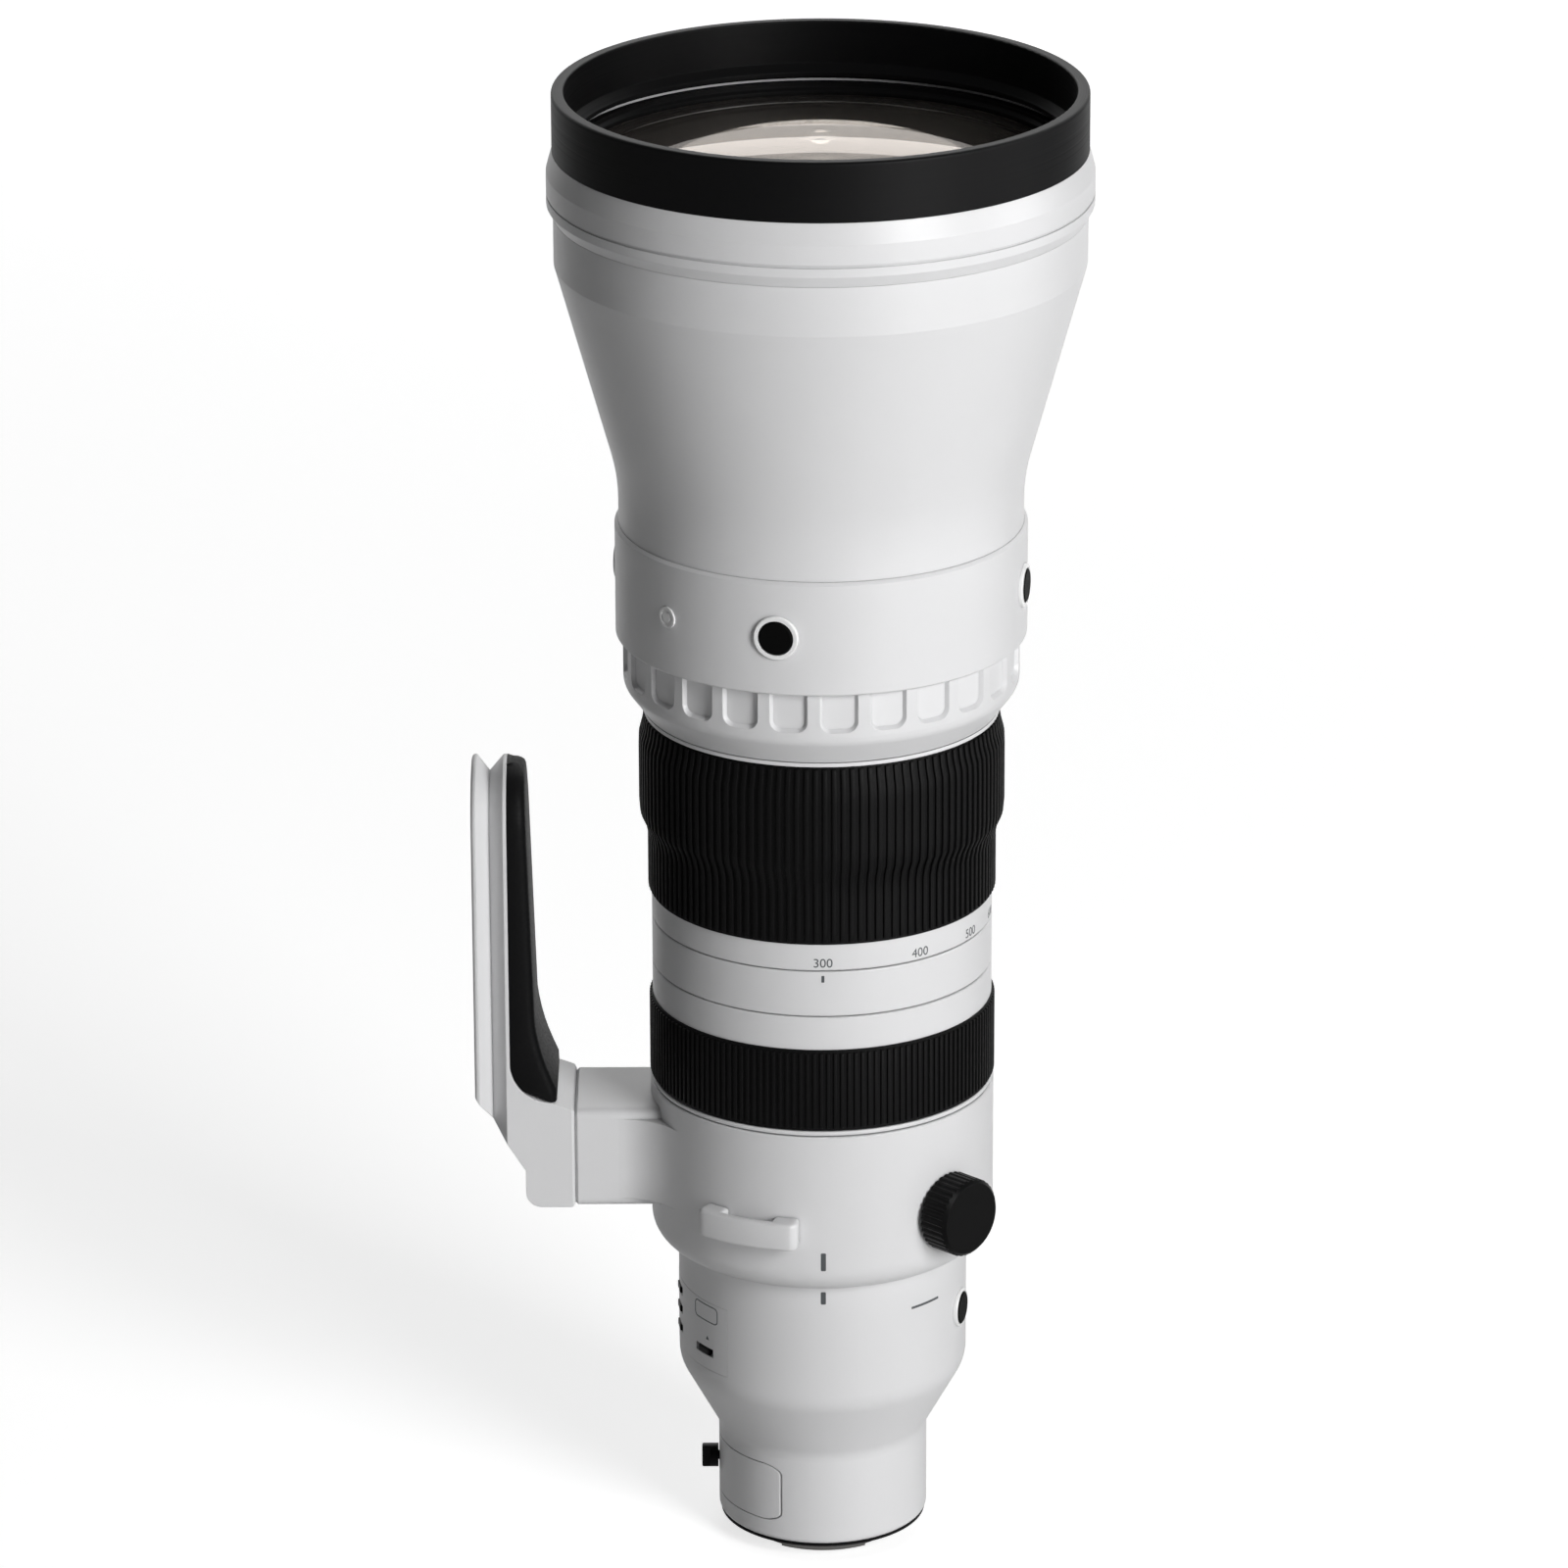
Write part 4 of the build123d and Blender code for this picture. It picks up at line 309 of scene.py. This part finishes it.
def makeCoatedGlass(name, filmNm):
    # Optical glass with an antireflection film: clear, and its reflections take the film's tint
    material, tree, shader = newMaterial(name)
    place = addNode(tree, "ShaderNodeTexCoord").outputs["Object"]
    wipeMm = 9.0   # streaks left by the cleaning cloth
    smear = addNode(tree, "ShaderNodeTexNoise", {"Vector": place, "Scale": 1 / (wipeMm * mm), "Detail": 4.0,
                                                 "Distortion": 1.5})
    gloss = addNode(tree, "ShaderNodeMapRange", {"Value": smear.outputs["Fac"], "From Min": 0.4,
                                                 "From Max": 0.8, "To Min": 0.0, "To Max": 0.03})
    tree.links.new(gloss.outputs["Result"], shader.inputs["Roughness"])
    # A little light is caught by dust on the glass, and it is warm like the coating
    shader.inputs["Base Color"].default_value = linear("#F6EEE6")
    shader.inputs["Transmission Weight"].default_value = 0.96
    shader.inputs["IOR"].default_value = 1.52
    shader.inputs["Thin Film Thickness"].default_value = filmNm
    shader.inputs["Thin Film IOR"].default_value = 1.38
    return material


frontGlass = makeCoatedGlass("coatedFrontGlass", 105.0)
innerGlass = makeCoatedGlass("coatedInnerGlass", 95.0)


def makeContacts():
    # Gold-plated pins in a black moulding: the pins are what stands below the block's face
    material, tree, shader = newMaterial("goldPinsInBlackMoulding")
    place = addNode(tree, "ShaderNodeTexCoord").outputs["Object"]
    height = addNode(tree, "ShaderNodeSeparateXYZ", {"Vector": place}).outputs["Z"]
    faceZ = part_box("contact_block")[0].z + 0.2 * mm
    isPin = addNode(tree, "ShaderNodeMath", {0: height, 1: faceZ}, operation="LESS_THAN").outputs["Value"]
    grain = addNode(tree, "ShaderNodeTexNoise", {"Vector": place, "Scale": 1 / (0.5 * mm)})
    colour = addNode(tree, "ShaderNodeMix", {"Factor": isPin, "A": linear("#161617"), "B": linear("#D6AE5C")},
                     data_type="RGBA")
    gloss = addNode(tree, "ShaderNodeMapRange", {"Value": grain.outputs["Fac"], "To Min": 0.22,
                                                 "To Max": 0.4})
    tree.links.new(colour.outputs["Result"], shader.inputs["Base Color"])
    tree.links.new(isPin, shader.inputs["Metallic"])
    tree.links.new(gloss.outputs["Result"], shader.inputs["Roughness"])
    return material


contactMoulding = makeContacts()

# What each CAD node is made of
finishes = {
    whiteEnamel: ["button_ring", "filter_holder", "fluted_grip_ring", "front_shell", "hood_flange_ring",
                  "main_barrel", "rear_barrel", "strap_lugs", "tripod_collar", "tripod_foot"],
    whiteRing: ["focus_ring", "index_band", "zoom_ring", "switch_panel"],
    whiteAbs: ["button_bezels"],
    gripRubber: ["zoom_grip", "focus_grip"],
    padRubber: ["foot_grip_pad", "rear_seal"],
    blackEnamel: ["front_rim_ring", "front_retaining_ring"],
    blackNylon: ["clamp_knob", "filter_lock_knob", "slide_switch_1", "slide_switch_2", "slide_switch_3",
                 "slide_switch_4"],
    buttonSilicone: ["focus_button_1", "focus_button_2", "focus_button_3", "focus_button_4", "rear_button"],
    blackAnodised: ["cam_barrel", "compensator_carrier", "focus_carrier", "front_lens_cell", "guide_barrel",
                    "iris_unit", "ois_base", "ois_frame", "rear_lens_cell", "variator_carrier"],
    machinedAluminium: ["clamp_shoe", "ois_guide"],
    shadedMountSteel: ["mount_ring"],
    screwSteel: ["foot_screws", "mount_screws", "focus_guide_rods"],
    nickelPlate: ["focus_motor_magnets"],
    slidingTape: ["collar_liners"],
    solderMask: ["main_circuit_board"],
    contactMoulding: ["contact_block"],
    frontGlass: ["front_element"],
    innerGlass: ["front_group_rear_elements", "compensator_lens", "variator_lens", "focus_lens", "ois_lens",
                 "rear_elements", "drop_in_filter"],
}
for material, names in finishes.items():
    for name in names:
        cadNodes[name].data.materials.clear()
        cadNodes[name].data.materials.append(material)
print("CAD nodes finished:", sum(len(names) for names in finishes.values()))


# Ribbed rubber sleeves

def smoothRadius(knots, height):
    # Radius between knots of (height, radius), eased at both ends of each stretch
    for (low, lowRadius), (high, highRadius) in zip(knots, knots[1:]):
        if height <= high:
            share = (height - low) / (high - low)
            return lowRadius + (highRadius - lowRadius) * (1 - cos(pi * share)) / 2
    return knots[-1][1]


def ribbedSleeve(name, node, sleeve):
    # A tube follows the outline, every second face of it is pulled out as a rib, and the ribs are bevelled
    low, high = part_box(node)
    span = high.z - low.z
    knots = [(share, radius * mm) for share, radius in sleeve["outline"]]
    plain = sleeve["plainEndMm"] * mm
    heights = [low.z, low.z + plain]
    rows = sleeve["rows"]
    heights += [low.z + plain + (span - 2 * plain) * row / rows for row in range(1, rows + 1)]
    heights.append(high.z)
    depth = sleeve["ribDepthMm"] * mm
    bore = sleeve["boreMm"] * mm
    radii = [smoothRadius(knots, (height - low.z) / span) - depth for height in heights]
    putDown()
    columns = 2 * sleeve["ribs"]
    bpy.ops.mesh.primitive_circle_add(vertices=columns, radius=radii[0], location=(0, 0, heights[0]))
    piece = newPiece(name)
    bpy.ops.object.mode_set(mode="EDIT")
    bpy.ops.mesh.select_all(action="SELECT")
    stations = list(zip(heights, radii)) + [(heights[-1], bore), (heights[0], bore)]
    for (fromZ, fromR), (toZ, toR) in zip(stations, stations[1:]):
        bpy.ops.mesh.extrude_region_move(TRANSFORM_OT_translate={"value": (0, 0, toZ - fromZ)})
        bpy.ops.transform.resize(value=(toR / fromR, toR / fromR, 1), center_override=(0, 0, 0))
    bpy.ops.mesh.select_all(action="SELECT")
    bpy.ops.mesh.select_mode(type="EDGE")
    bpy.ops.mesh.select_all(action="DESELECT")
    bpy.ops.mesh.select_non_manifold()
    bpy.ops.mesh.bridge_edge_loops()
    bpy.ops.mesh.select_all(action="SELECT")
    bpy.ops.mesh.normals_make_consistent(inside=False)

    def onRib(centre, normal):
        column = floor(atan2(centre.y, centre.x) % (2 * pi) / (2 * pi / columns))
        outside = hypot(centre.x, centre.y) > bore + mm
        between = heights[1] < centre.z < heights[-2]
        return outside and between and column % 2 == 0

    editWith(piece, "faces", onRib)
    bpy.ops.mesh.extrude_region_shrink_fatten(TRANSFORM_OT_shrink_fatten={"value": depth})
    bpy.ops.mesh.region_to_loop()
    bpy.ops.mesh.bevel(offset=sleeve["bevelMm"] * mm, segments=2, affect="EDGES")
    bpy.ops.object.mode_set(mode="OBJECT")
    return piece


# Zoom grip: narrow towards the scale, a raised hold in the middle, a lower shoulder at the front end
zoomSleeve = {
    "ribs": 124, "ribDepthMm": 0.75, "bevelMm": 0.22, "plainEndMm": 0.9, "rows": 16, "boreMm": 51.45,
    "outline": [(0.0, 54.1), (0.33, 54.1), (0.47, 56.7), (0.84, 56.7), (0.97, 55.2), (1.0, 55.0)],
}
zoomGrip = ribbedSleeve("zoomGripSleeve", "zoom_grip", zoomSleeve)
finishPiece(zoomGrip, "zoom_ring_body", gripRubber)
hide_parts("zoom_grip")

# Focus grip: straight, with finer ribs
focusSleeve = {
    "ribs": 158, "ribDepthMm": 0.6, "bevelMm": 0.18, "plainEndMm": 0.9, "rows": 1, "boreMm": 51.45,
    "outline": [(0.0, 54.0), (1.0, 54.0)],
}
focusGrip = ribbedSleeve("focusGripSleeve", "focus_grip", focusSleeve)
finishPiece(focusGrip, "focus_ring_body", gripRubber)
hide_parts("focus_grip")
print("grip sleeves made")


# Carrying pad: hollowed towards the hand, thicker at its toe, with rounded long edges
padShape = {
    "toeShare": 0.032, "waistShare": 0.233, "toeMm": -83.0, "waistMm": -89.5, "topMm": -92.0,
    "swayMm": 0.9, "bendMm": 13.0, "backMm": -97.45, "edgeMm": 2.6, "cornerMm": 4.0, "roundMm": 0.6,
    "straightLoops": 24, "endLoops": 14, "endWidthShare": 0.25,
}


def padFront(height, low, high):
    # Hand side of the pad, from its toe to its top, where the corner is round
    share = (height - low) / (high - low)
    toe, waist = padShape["toeShare"], padShape["waistShare"]
    if share <= toe:
        return padShape["toeMm"] * mm
    if share <= waist:
        part = (share - toe) / (waist - toe)
        straight = padShape["toeMm"] + (padShape["waistMm"] - padShape["toeMm"]) * part
        return (straight - padShape["swayMm"] * sin(pi * part)) * mm
    part = (share - waist) / (1 - waist)
    corner = padShape["cornerMm"] * mm
    into = max(0.0, height - (high - corner))
    drop = corner - sqrt(max(0.0, corner ** 2 - into ** 2))
    return (padShape["waistMm"] + (padShape["topMm"] - padShape["waistMm"]) * part) * mm - drop


def padBack(height, low):
    # Back of the pad: it follows the foot's inner bend and then its rail
    bend = padShape["bendMm"] * mm
    rise = height - low
    if rise >= bend:
        return padShape["backMm"] * mm
    return padShape["backMm"] * mm + bend - sqrt(bend ** 2 - (bend - rise) ** 2)


def makePad():
    low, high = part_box("foot_grip_pad")
    middle = (low + high) / 2
    size = high - low
    # The top is a half round between the sides, as the rail's end is
    halfWide = size.y / 2
    endMiddle = high.z - halfWide

    def halfWidth(height):
        into = min(1.0, max(0.0, (height - endMiddle) / halfWide))
        return halfWide * max(padShape["endWidthShare"], sqrt(1 - into ** 2))

    putDown()
    bpy.ops.mesh.primitive_cube_add(size=1, location=middle)
    bpy.context.object.scale = size
    piece = newPiece("carryingPad")
    straightLoops, endLoops = padShape["straightLoops"], padShape["endLoops"]
    heights = [low.z + (endMiddle - low.z) * loop / straightLoops for loop in range(1, straightLoops + 1)]
    heights += [endMiddle + halfWide * sin(pi / 2 * loop / endLoops) for loop in range(1, endLoops)]
    for height in heights:
        editWith(piece, "faces", lambda centre, normal: True)
        bpy.ops.mesh.bisect(plane_co=(0, 0, height), plane_no=(0, 0, 1))
        bpy.ops.object.mode_set(mode="OBJECT")
    for vertex in piece.data.vertices:
        place = vertex.co
        isFront = place.x > middle.x
        place.x = padFront(place.z, low.z, high.z) if isFront else padBack(place.z, low.z)
        place.y *= halfWidth(place.z) / halfWide

    def inFront(place):
        return abs(place.x - padFront(place.z, low.z, high.z)) < 10 * hair

    def longEdge(first, second):
        upright = abs(first.z - second.z) > hair and first.y * second.y > 0
        return upright and inFront(first) and inFront(second)
    editWith(piece, "edges", longEdge)
    bpy.ops.mesh.bevel(offset=padShape["edgeMm"] * mm, segments=4, affect="EDGES")
    bpy.ops.object.mode_set(mode="OBJECT")
    roundEdges(piece, padShape["roundMm"], 2)
    return piece


carryingPad = makePad()
finishPiece(carryingPad, "collar", padRubber)
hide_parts("foot_grip_pad")
print("carrying pad made")


# Printed marks

inkMm = 0.05             # thickness of the ink
stripMm = 1.5            # width of the strips that bend round a barrel
cornerShare = 0.2        # how far a bar's corners are rounded


def wrapOn(piece, radius, azimuth, height):
    # A flat piece drawn about the origin is cut into strips that can bend, and laid round the barrel at an
    # azimuth and a height
    reachX = max(abs(vertex.co.x) for vertex in piece.data.vertices)
    strips = int(reachX / (stripMm * mm))
    for strip in range(-strips, strips + 1):
        editWith(piece, "faces", lambda centre, normal: True)
        bpy.ops.mesh.bisect(plane_co=(strip * stripMm * mm, 0, 0), plane_no=(1, 0, 0))
        bpy.ops.object.mode_set(mode="OBJECT")
    for vertex in piece.data.vertices:
        turn = radians(azimuth) + vertex.co.x / radius
        reach = radius + vertex.co.z
        up = height + vertex.co.y
        vertex.co = Vector((reach * sin(turn), -reach * cos(turn), up))


def printedText(name, words, sizeMm):
    putDown()
    bpy.ops.object.text_add()
    text = bpy.context.object
    text.data.body = words
    text.data.size = sizeMm * mm
    text.data.align_x = "CENTER"
    text.data.align_y = "CENTER"
    text.data.extrude = inkMm * mm / 2
    bpy.ops.object.convert(target="MESH")
    return newPiece(name)


def printedBar(name, wideMm, highMm):
    putDown()
    bpy.ops.mesh.primitive_cube_add(size=1)
    bpy.context.object.scale = (wideMm * mm, highMm * mm, inkMm * mm)
    piece = newPiece(name)
    editWith(piece, "edges", lambda first, second: abs(first.z - second.z) > hair)
    bpy.ops.mesh.bevel(offset=min(wideMm, highMm) * mm * cornerShare, segments=2, affect="EDGES")
    bpy.ops.object.mode_set(mode="OBJECT")
    return piece


def thickenInk():
    # The open piece gets the ink's thickness, and leaves edit mode
    bpy.ops.mesh.select_all(action="SELECT")
    bpy.ops.mesh.extrude_region_move(TRANSFORM_OT_translate={"value": (0, 0, inkMm * mm)})
    bpy.ops.mesh.select_all(action="SELECT")
    bpy.ops.mesh.normals_make_consistent(inside=False)
    bpy.ops.object.mode_set(mode="OBJECT")


def printedFrame(name, wideMm, highMm, lineMm, cornerMm):
    # Thin outline with round corners
    putDown()
    bpy.ops.mesh.primitive_plane_add(size=1)
    bpy.context.object.scale = (wideMm * mm, highMm * mm, 1)
    piece = newPiece(name)
    editWith(piece, "faces", lambda centre, normal: True)
    bpy.ops.mesh.bevel(offset=cornerMm * mm, segments=5, affect="VERTICES")
    bpy.ops.mesh.select_all(action="SELECT")
    bpy.ops.mesh.inset(thickness=lineMm * mm)
    bpy.ops.mesh.delete(type="FACE")
    thickenInk()
    return piece


def printedWedge(name, sizeMm):
    # Small triangle that points along the optical axis
    putDown()
    bpy.ops.mesh.primitive_circle_add(vertices=3, radius=sizeMm * mm / 2, fill_type="NGON")
    piece = newPiece(name)
    editWith(piece, "faces", lambda centre, normal: True)
    thickenInk()
    return piece


# Focal lengths on the zoom ring's scale, read against the index on the fixed band
zoomScale = {
    "marks": {"300": 0.0, "400": 34.4, "500": 59.7, "600": 79.5}, "heightMm": 206.7, "sizeMm": 4.1,
    "radiusMm": 53.0,
}
for words, azimuth in zoomScale["marks"].items():
    number = printedText("scaleNumber" + words, words, zoomScale["sizeMm"])
    wrapOn(number, zoomScale["radiusMm"] * mm, azimuth, zoomScale["heightMm"] * mm)
    finishPiece(number, "zoom_ring_body", printInk)

ticks = {
    "zoomIndexTick": {"body": "barrel", "wideMm": 0.9, "highMm": 2.2, "radiusMm": 53.0, "heightMm": 201.6},
    "collarTick": {"body": "collar", "wideMm": 1.6, "highMm": 6.0, "radiusMm": 53.8, "heightMm": 107.5},
    "barrelTick": {"body": "barrel", "wideMm": 1.6, "highMm": 4.2, "radiusMm": 45.5, "heightMm": 91.6},
}
for name, tick in ticks.items():
    bar = printedBar(name, tick["wideMm"], tick["highMm"])
    wrapOn(bar, tick["radiusMm"] * mm, 0.0, tick["heightMm"] * mm)
    finishPiece(bar, tick["body"], printInk)

# Plain marks on the switch panel and on the barrel's other side
plainMarks = {
    "panelFrame": {"wideMm": 12.2, "highMm": 5.8, "lineMm": 0.35, "cornerMm": 1.6, "radiusMm": 45.55,
                   "azimuth": -54.3, "heightMm": 78.6},
    "panelWedge": {"sizeMm": 1.8, "radiusMm": 45.55, "azimuth": -53.0, "heightMm": 70.0},
    "barrelLine": {"wideMm": 12.0, "highMm": 0.8, "radiusMm": 45.5, "azimuth": 45.0, "heightMm": 84.0},
}
for name, mark in plainMarks.items():
    if "lineMm" in mark:
        piece = printedFrame(name, mark["wideMm"], mark["highMm"], mark["lineMm"], mark["cornerMm"])
    elif "sizeMm" in mark:
        piece = printedWedge(name, mark["sizeMm"])
    else:
        piece = printedBar(name, mark["wideMm"], mark["highMm"])
    wrapOn(piece, mark["radiusMm"] * mm, mark["azimuth"], mark["heightMm"] * mm)
    finishPiece(piece, "barrel", printInk)
print("marks printed")


# Strap lugs: a bar on two feet, with round ends and soft edges

lugShape = {
    "azimuths": {"Left": -24.5, "Back": -155.5}, "heightMm": 117.8, "radiusMm": 53.8, "longMm": 31.0,
    "highMm": 9.0, "slotMm": 15.5, "gapMm": 3.6, "barMm": 3.0, "sinkMm": 0.3, "endMm": 2.6, "edgeMm": 1.1,
}


def makeLug(name, azimuth):
    gap, bar = lugShape["gapMm"] * mm, lugShape["barMm"] * mm
    putDown()
    bpy.ops.mesh.primitive_cube_add(size=1, location=(0, 0, gap + bar / 2))
    bpy.context.object.scale = (lugShape["longMm"] * mm, lugShape["highMm"] * mm, bar)
    lug = newPiece(name)
    slot = lugShape["slotMm"] * mm / 2
    for side in (-slot, slot):
        editWith(lug, "faces", lambda centre, normal: True)
        bpy.ops.mesh.bisect(plane_co=(side, 0, 0), plane_no=(1, 0, 0))
        bpy.ops.object.mode_set(mode="OBJECT")
    editWith(lug, "faces", lambda centre, normal: normal.z < -0.5 and abs(centre.x) > slot)
    bpy.ops.mesh.extrude_region_move(TRANSFORM_OT_translate={"value": (0, 0, -gap - lugShape["sinkMm"] * mm)})
    bpy.ops.object.mode_set(mode="OBJECT")

    def outerEnd(first, second):
        onTop = min(first.z, second.z) > gap + bar - hair
        return onTop and abs(first.x) > slot + mm and abs(first.x - second.x) < hair
    editWith(lug, "edges", outerEnd)
    bpy.ops.mesh.bevel(offset=lugShape["endMm"] * mm, segments=5, affect="EDGES")
    bpy.ops.object.mode_set(mode="OBJECT")
    roundEdges(lug, lugShape["edgeMm"], 3)
    wrapOn(lug, lugShape["radiusMm"] * mm, azimuth, lugShape["heightMm"] * mm)
    return lug


lugs = [makeLug("strapLug" + side, azimuth) for side, azimuth in lugShape["azimuths"].items()]
takeUp(lugs[0])
lugs[1].select_set(True)
bpy.ops.object.join()
strapLugs = bpy.context.object
strapLugs.name = "strapLugs"
finishPiece(strapLugs, "collar", whiteEnamel)
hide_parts("strap_lugs")
print("strap lugs made")


# Stage, light and camera

studio = {
    "floorColour": "#D8D8D8", "fibreColour": "#DCDCDC", "floorGlow": 0.72, "skyFill": 0.05,
    "lamps": {
        "keyRight": {"place": (1.36, -1.71, 0.95), "aim": (0, 0, 0.25), "size": (0.8, 1.6), "watts": 48},
        "fillLeft": {"place": (-2.2, -1.6, 0.9), "aim": (0, 0, 0.22), "size": (1.2, 1.2), "watts": 1.5},
        "fillBack": {"place": (0.3, 2.6, 1.2), "aim": (0, 0, 0.25), "size": (1.8, 1.8), "watts": 18,
                     "mirrored": False},
    },
    # Softboxes behind and at the right, which only the glass and the gloss pick up
    "gleams": {
        "edgeRight": {"place": (2.3, -0.15, 0.75), "aim": (0, 0, 0.32), "size": (0.9, 1.5), "watts": 18},
        "backLow": {"place": (0, 2.2, 1.27), "aim": (0, 0, 0.45), "size": (4.4, 0.24), "watts": 7},
        "backMiddle": {"place": (0.3, 2.1, 1.60), "aim": (0, 0, 0.45), "size": (3.8, 0.08), "watts": 4},
        "backHigh": {"place": (0.3, 2.0, 1.86), "aim": (0, 0, 0.45), "size": (3.8, 0.12), "watts": 7.5},
        "backTop": {"place": (0.3, 1.9, 2.25), "aim": (0, 0, 0.45), "size": (3.8, 0.16), "watts": 7},
    },
}


def addLamp(name, lamp, lightsPaint):
    data = bpy.data.lights.new(name, "AREA")
    data.shape = "RECTANGLE"
    data.size, data.size_y = lamp["size"]
    data.energy = lamp["watts"]
    holder = bpy.data.objects.new(name, data)
    bpy.context.scene.collection.objects.link(holder)
    holder.visible_camera = False
    holder.visible_diffuse = lightsPaint
    holder.visible_glossy = lamp.get("mirrored", True)
    holder.visible_transmission = lamp.get("mirrored", True)
    holder.location = lamp["place"]
    aim = Vector(lamp["aim"]) - Vector(lamp["place"])
    holder.rotation_euler = aim.to_track_quat("-Z", "Y").to_euler()


for name, lamp in studio["lamps"].items():
    addLamp(name, lamp, True)
for name, lamp in studio["gleams"].items():
    addLamp(name, lamp, False)


def seenDirectly(tree, towards):
    # 1 where the camera looks, and where a reflection or a refraction looks towards the white backdrop
    # behind the lens. The room in front and at the sides stays dim in reflections, as in a studio
    split = addNode(tree, "ShaderNodeSeparateXYZ", {"Vector": towards})
    aside = addNode(tree, "ShaderNodeMath", {0: split.outputs["X"]}, operation="ABSOLUTE")
    depth = addNode(tree, "ShaderNodeMath", {0: split.outputs["Y"], 1: aside.outputs["Value"]},
                    operation="SUBTRACT").outputs["Value"]
    path = addNode(tree, "ShaderNodeLightPath")
    curved = addNode(tree, "ShaderNodeMath", {0: path.outputs["Is Glossy Ray"],
                                              1: path.outputs["Is Transmission Ray"]}, operation="MAXIMUM")
    behind = addNode(tree, "ShaderNodeMapRange", {"Value": depth, "From Min": -0.1, "From Max": 0.3,
                                                  "To Min": 0.12, "To Max": 1.0})
    mirrored = addNode(tree, "ShaderNodeMath", {0: curved.outputs["Value"], 1: behind.outputs["Result"]},
                       operation="MULTIPLY")
    every = addNode(tree, "ShaderNodeMath", {0: path.outputs["Is Camera Ray"], 1: mirrored.outputs["Value"]},
                    operation="MAXIMUM")
    return every.outputs["Value"]


def makeFloor():
    # Seamless studio paper: a pale floor that glows white to the camera and keeps the shadow
    putDown()
    bpy.ops.mesh.primitive_circle_add(vertices=96, radius=6, fill_type="NGON", location=(0, 0, cadBox[0][2]))
    floorPaper = newPiece("studioFloor")
    material, tree, shader = newMaterial("paleStudioPaper")
    place = addNode(tree, "ShaderNodeTexCoord").outputs["Object"]
    fibre = addNode(tree, "ShaderNodeTexNoise", {"Vector": place, "Scale": 220.0, "Detail": 3.0})
    colour = addNode(tree, "ShaderNodeMix", {"Factor": fibre.outputs["Fac"],
                                             "A": linear(studio["floorColour"]),
                                             "B": linear(studio["fibreColour"])}, data_type="RGBA")
    tree.links.new(colour.outputs["Result"], shader.inputs["Base Color"])
    shader.inputs["Roughness"].default_value = 0.9
    shader.inputs["Specular IOR Level"].default_value = 0.1
    glow = addNode(tree, "ShaderNodeMath", {0: seenDirectly(tree, place), 1: studio["floorGlow"]},
                   operation="MULTIPLY")
    shader.inputs["Emission Color"].default_value = (1, 1, 1, 1)
    tree.links.new(glow.outputs["Value"], shader.inputs["Emission Strength"])
    floorPaper.data.materials.append(material)


makeFloor()

world = bpy.data.worlds.new("studioWorld")
bpy.context.scene.world = world
world.use_nodes = True
sky = world.node_tree
sky.nodes.clear()
seen = seenDirectly(sky, addNode(sky, "ShaderNodeTexCoord").outputs["Generated"])
level = addNode(sky, "ShaderNodeMapRange", {"Value": seen, "To Min": studio["skyFill"], "To Max": 1.0})
background = addNode(sky, "ShaderNodeBackground", {"Color": (1, 1, 1, 1),
                                                   "Strength": level.outputs["Result"]})
addNode(sky, "ShaderNodeOutputWorld", {"Surface": background.outputs["Background"]})

viewpoint = {
    "lensMm": 189.0, "sensorMm": 36.0, "pitchDeg": 20.4, "rollDeg": -0.2,
    "place": (-0.0117, -2.39354, 1.13587),
}
cameraData = bpy.data.cameras.new("photographView")
cameraData.lens = viewpoint["lensMm"]
cameraData.sensor_width = viewpoint["sensorMm"]
cameraData.clip_end = 50
camera = bpy.data.objects.new("photographView", cameraData)
bpy.context.scene.collection.objects.link(camera)
tilt = Matrix.Rotation(radians(90 - viewpoint["pitchDeg"]), 4, "X")
roll = Matrix.Rotation(radians(viewpoint["rollDeg"]), 4, "Z")
camera.matrix_world = Matrix.Translation(viewpoint["place"]) @ tilt @ roll
bpy.context.scene.camera = camera

scene = bpy.context.scene
scene.view_settings.view_transform = "Standard"
putDown()
print("stage and camera set")
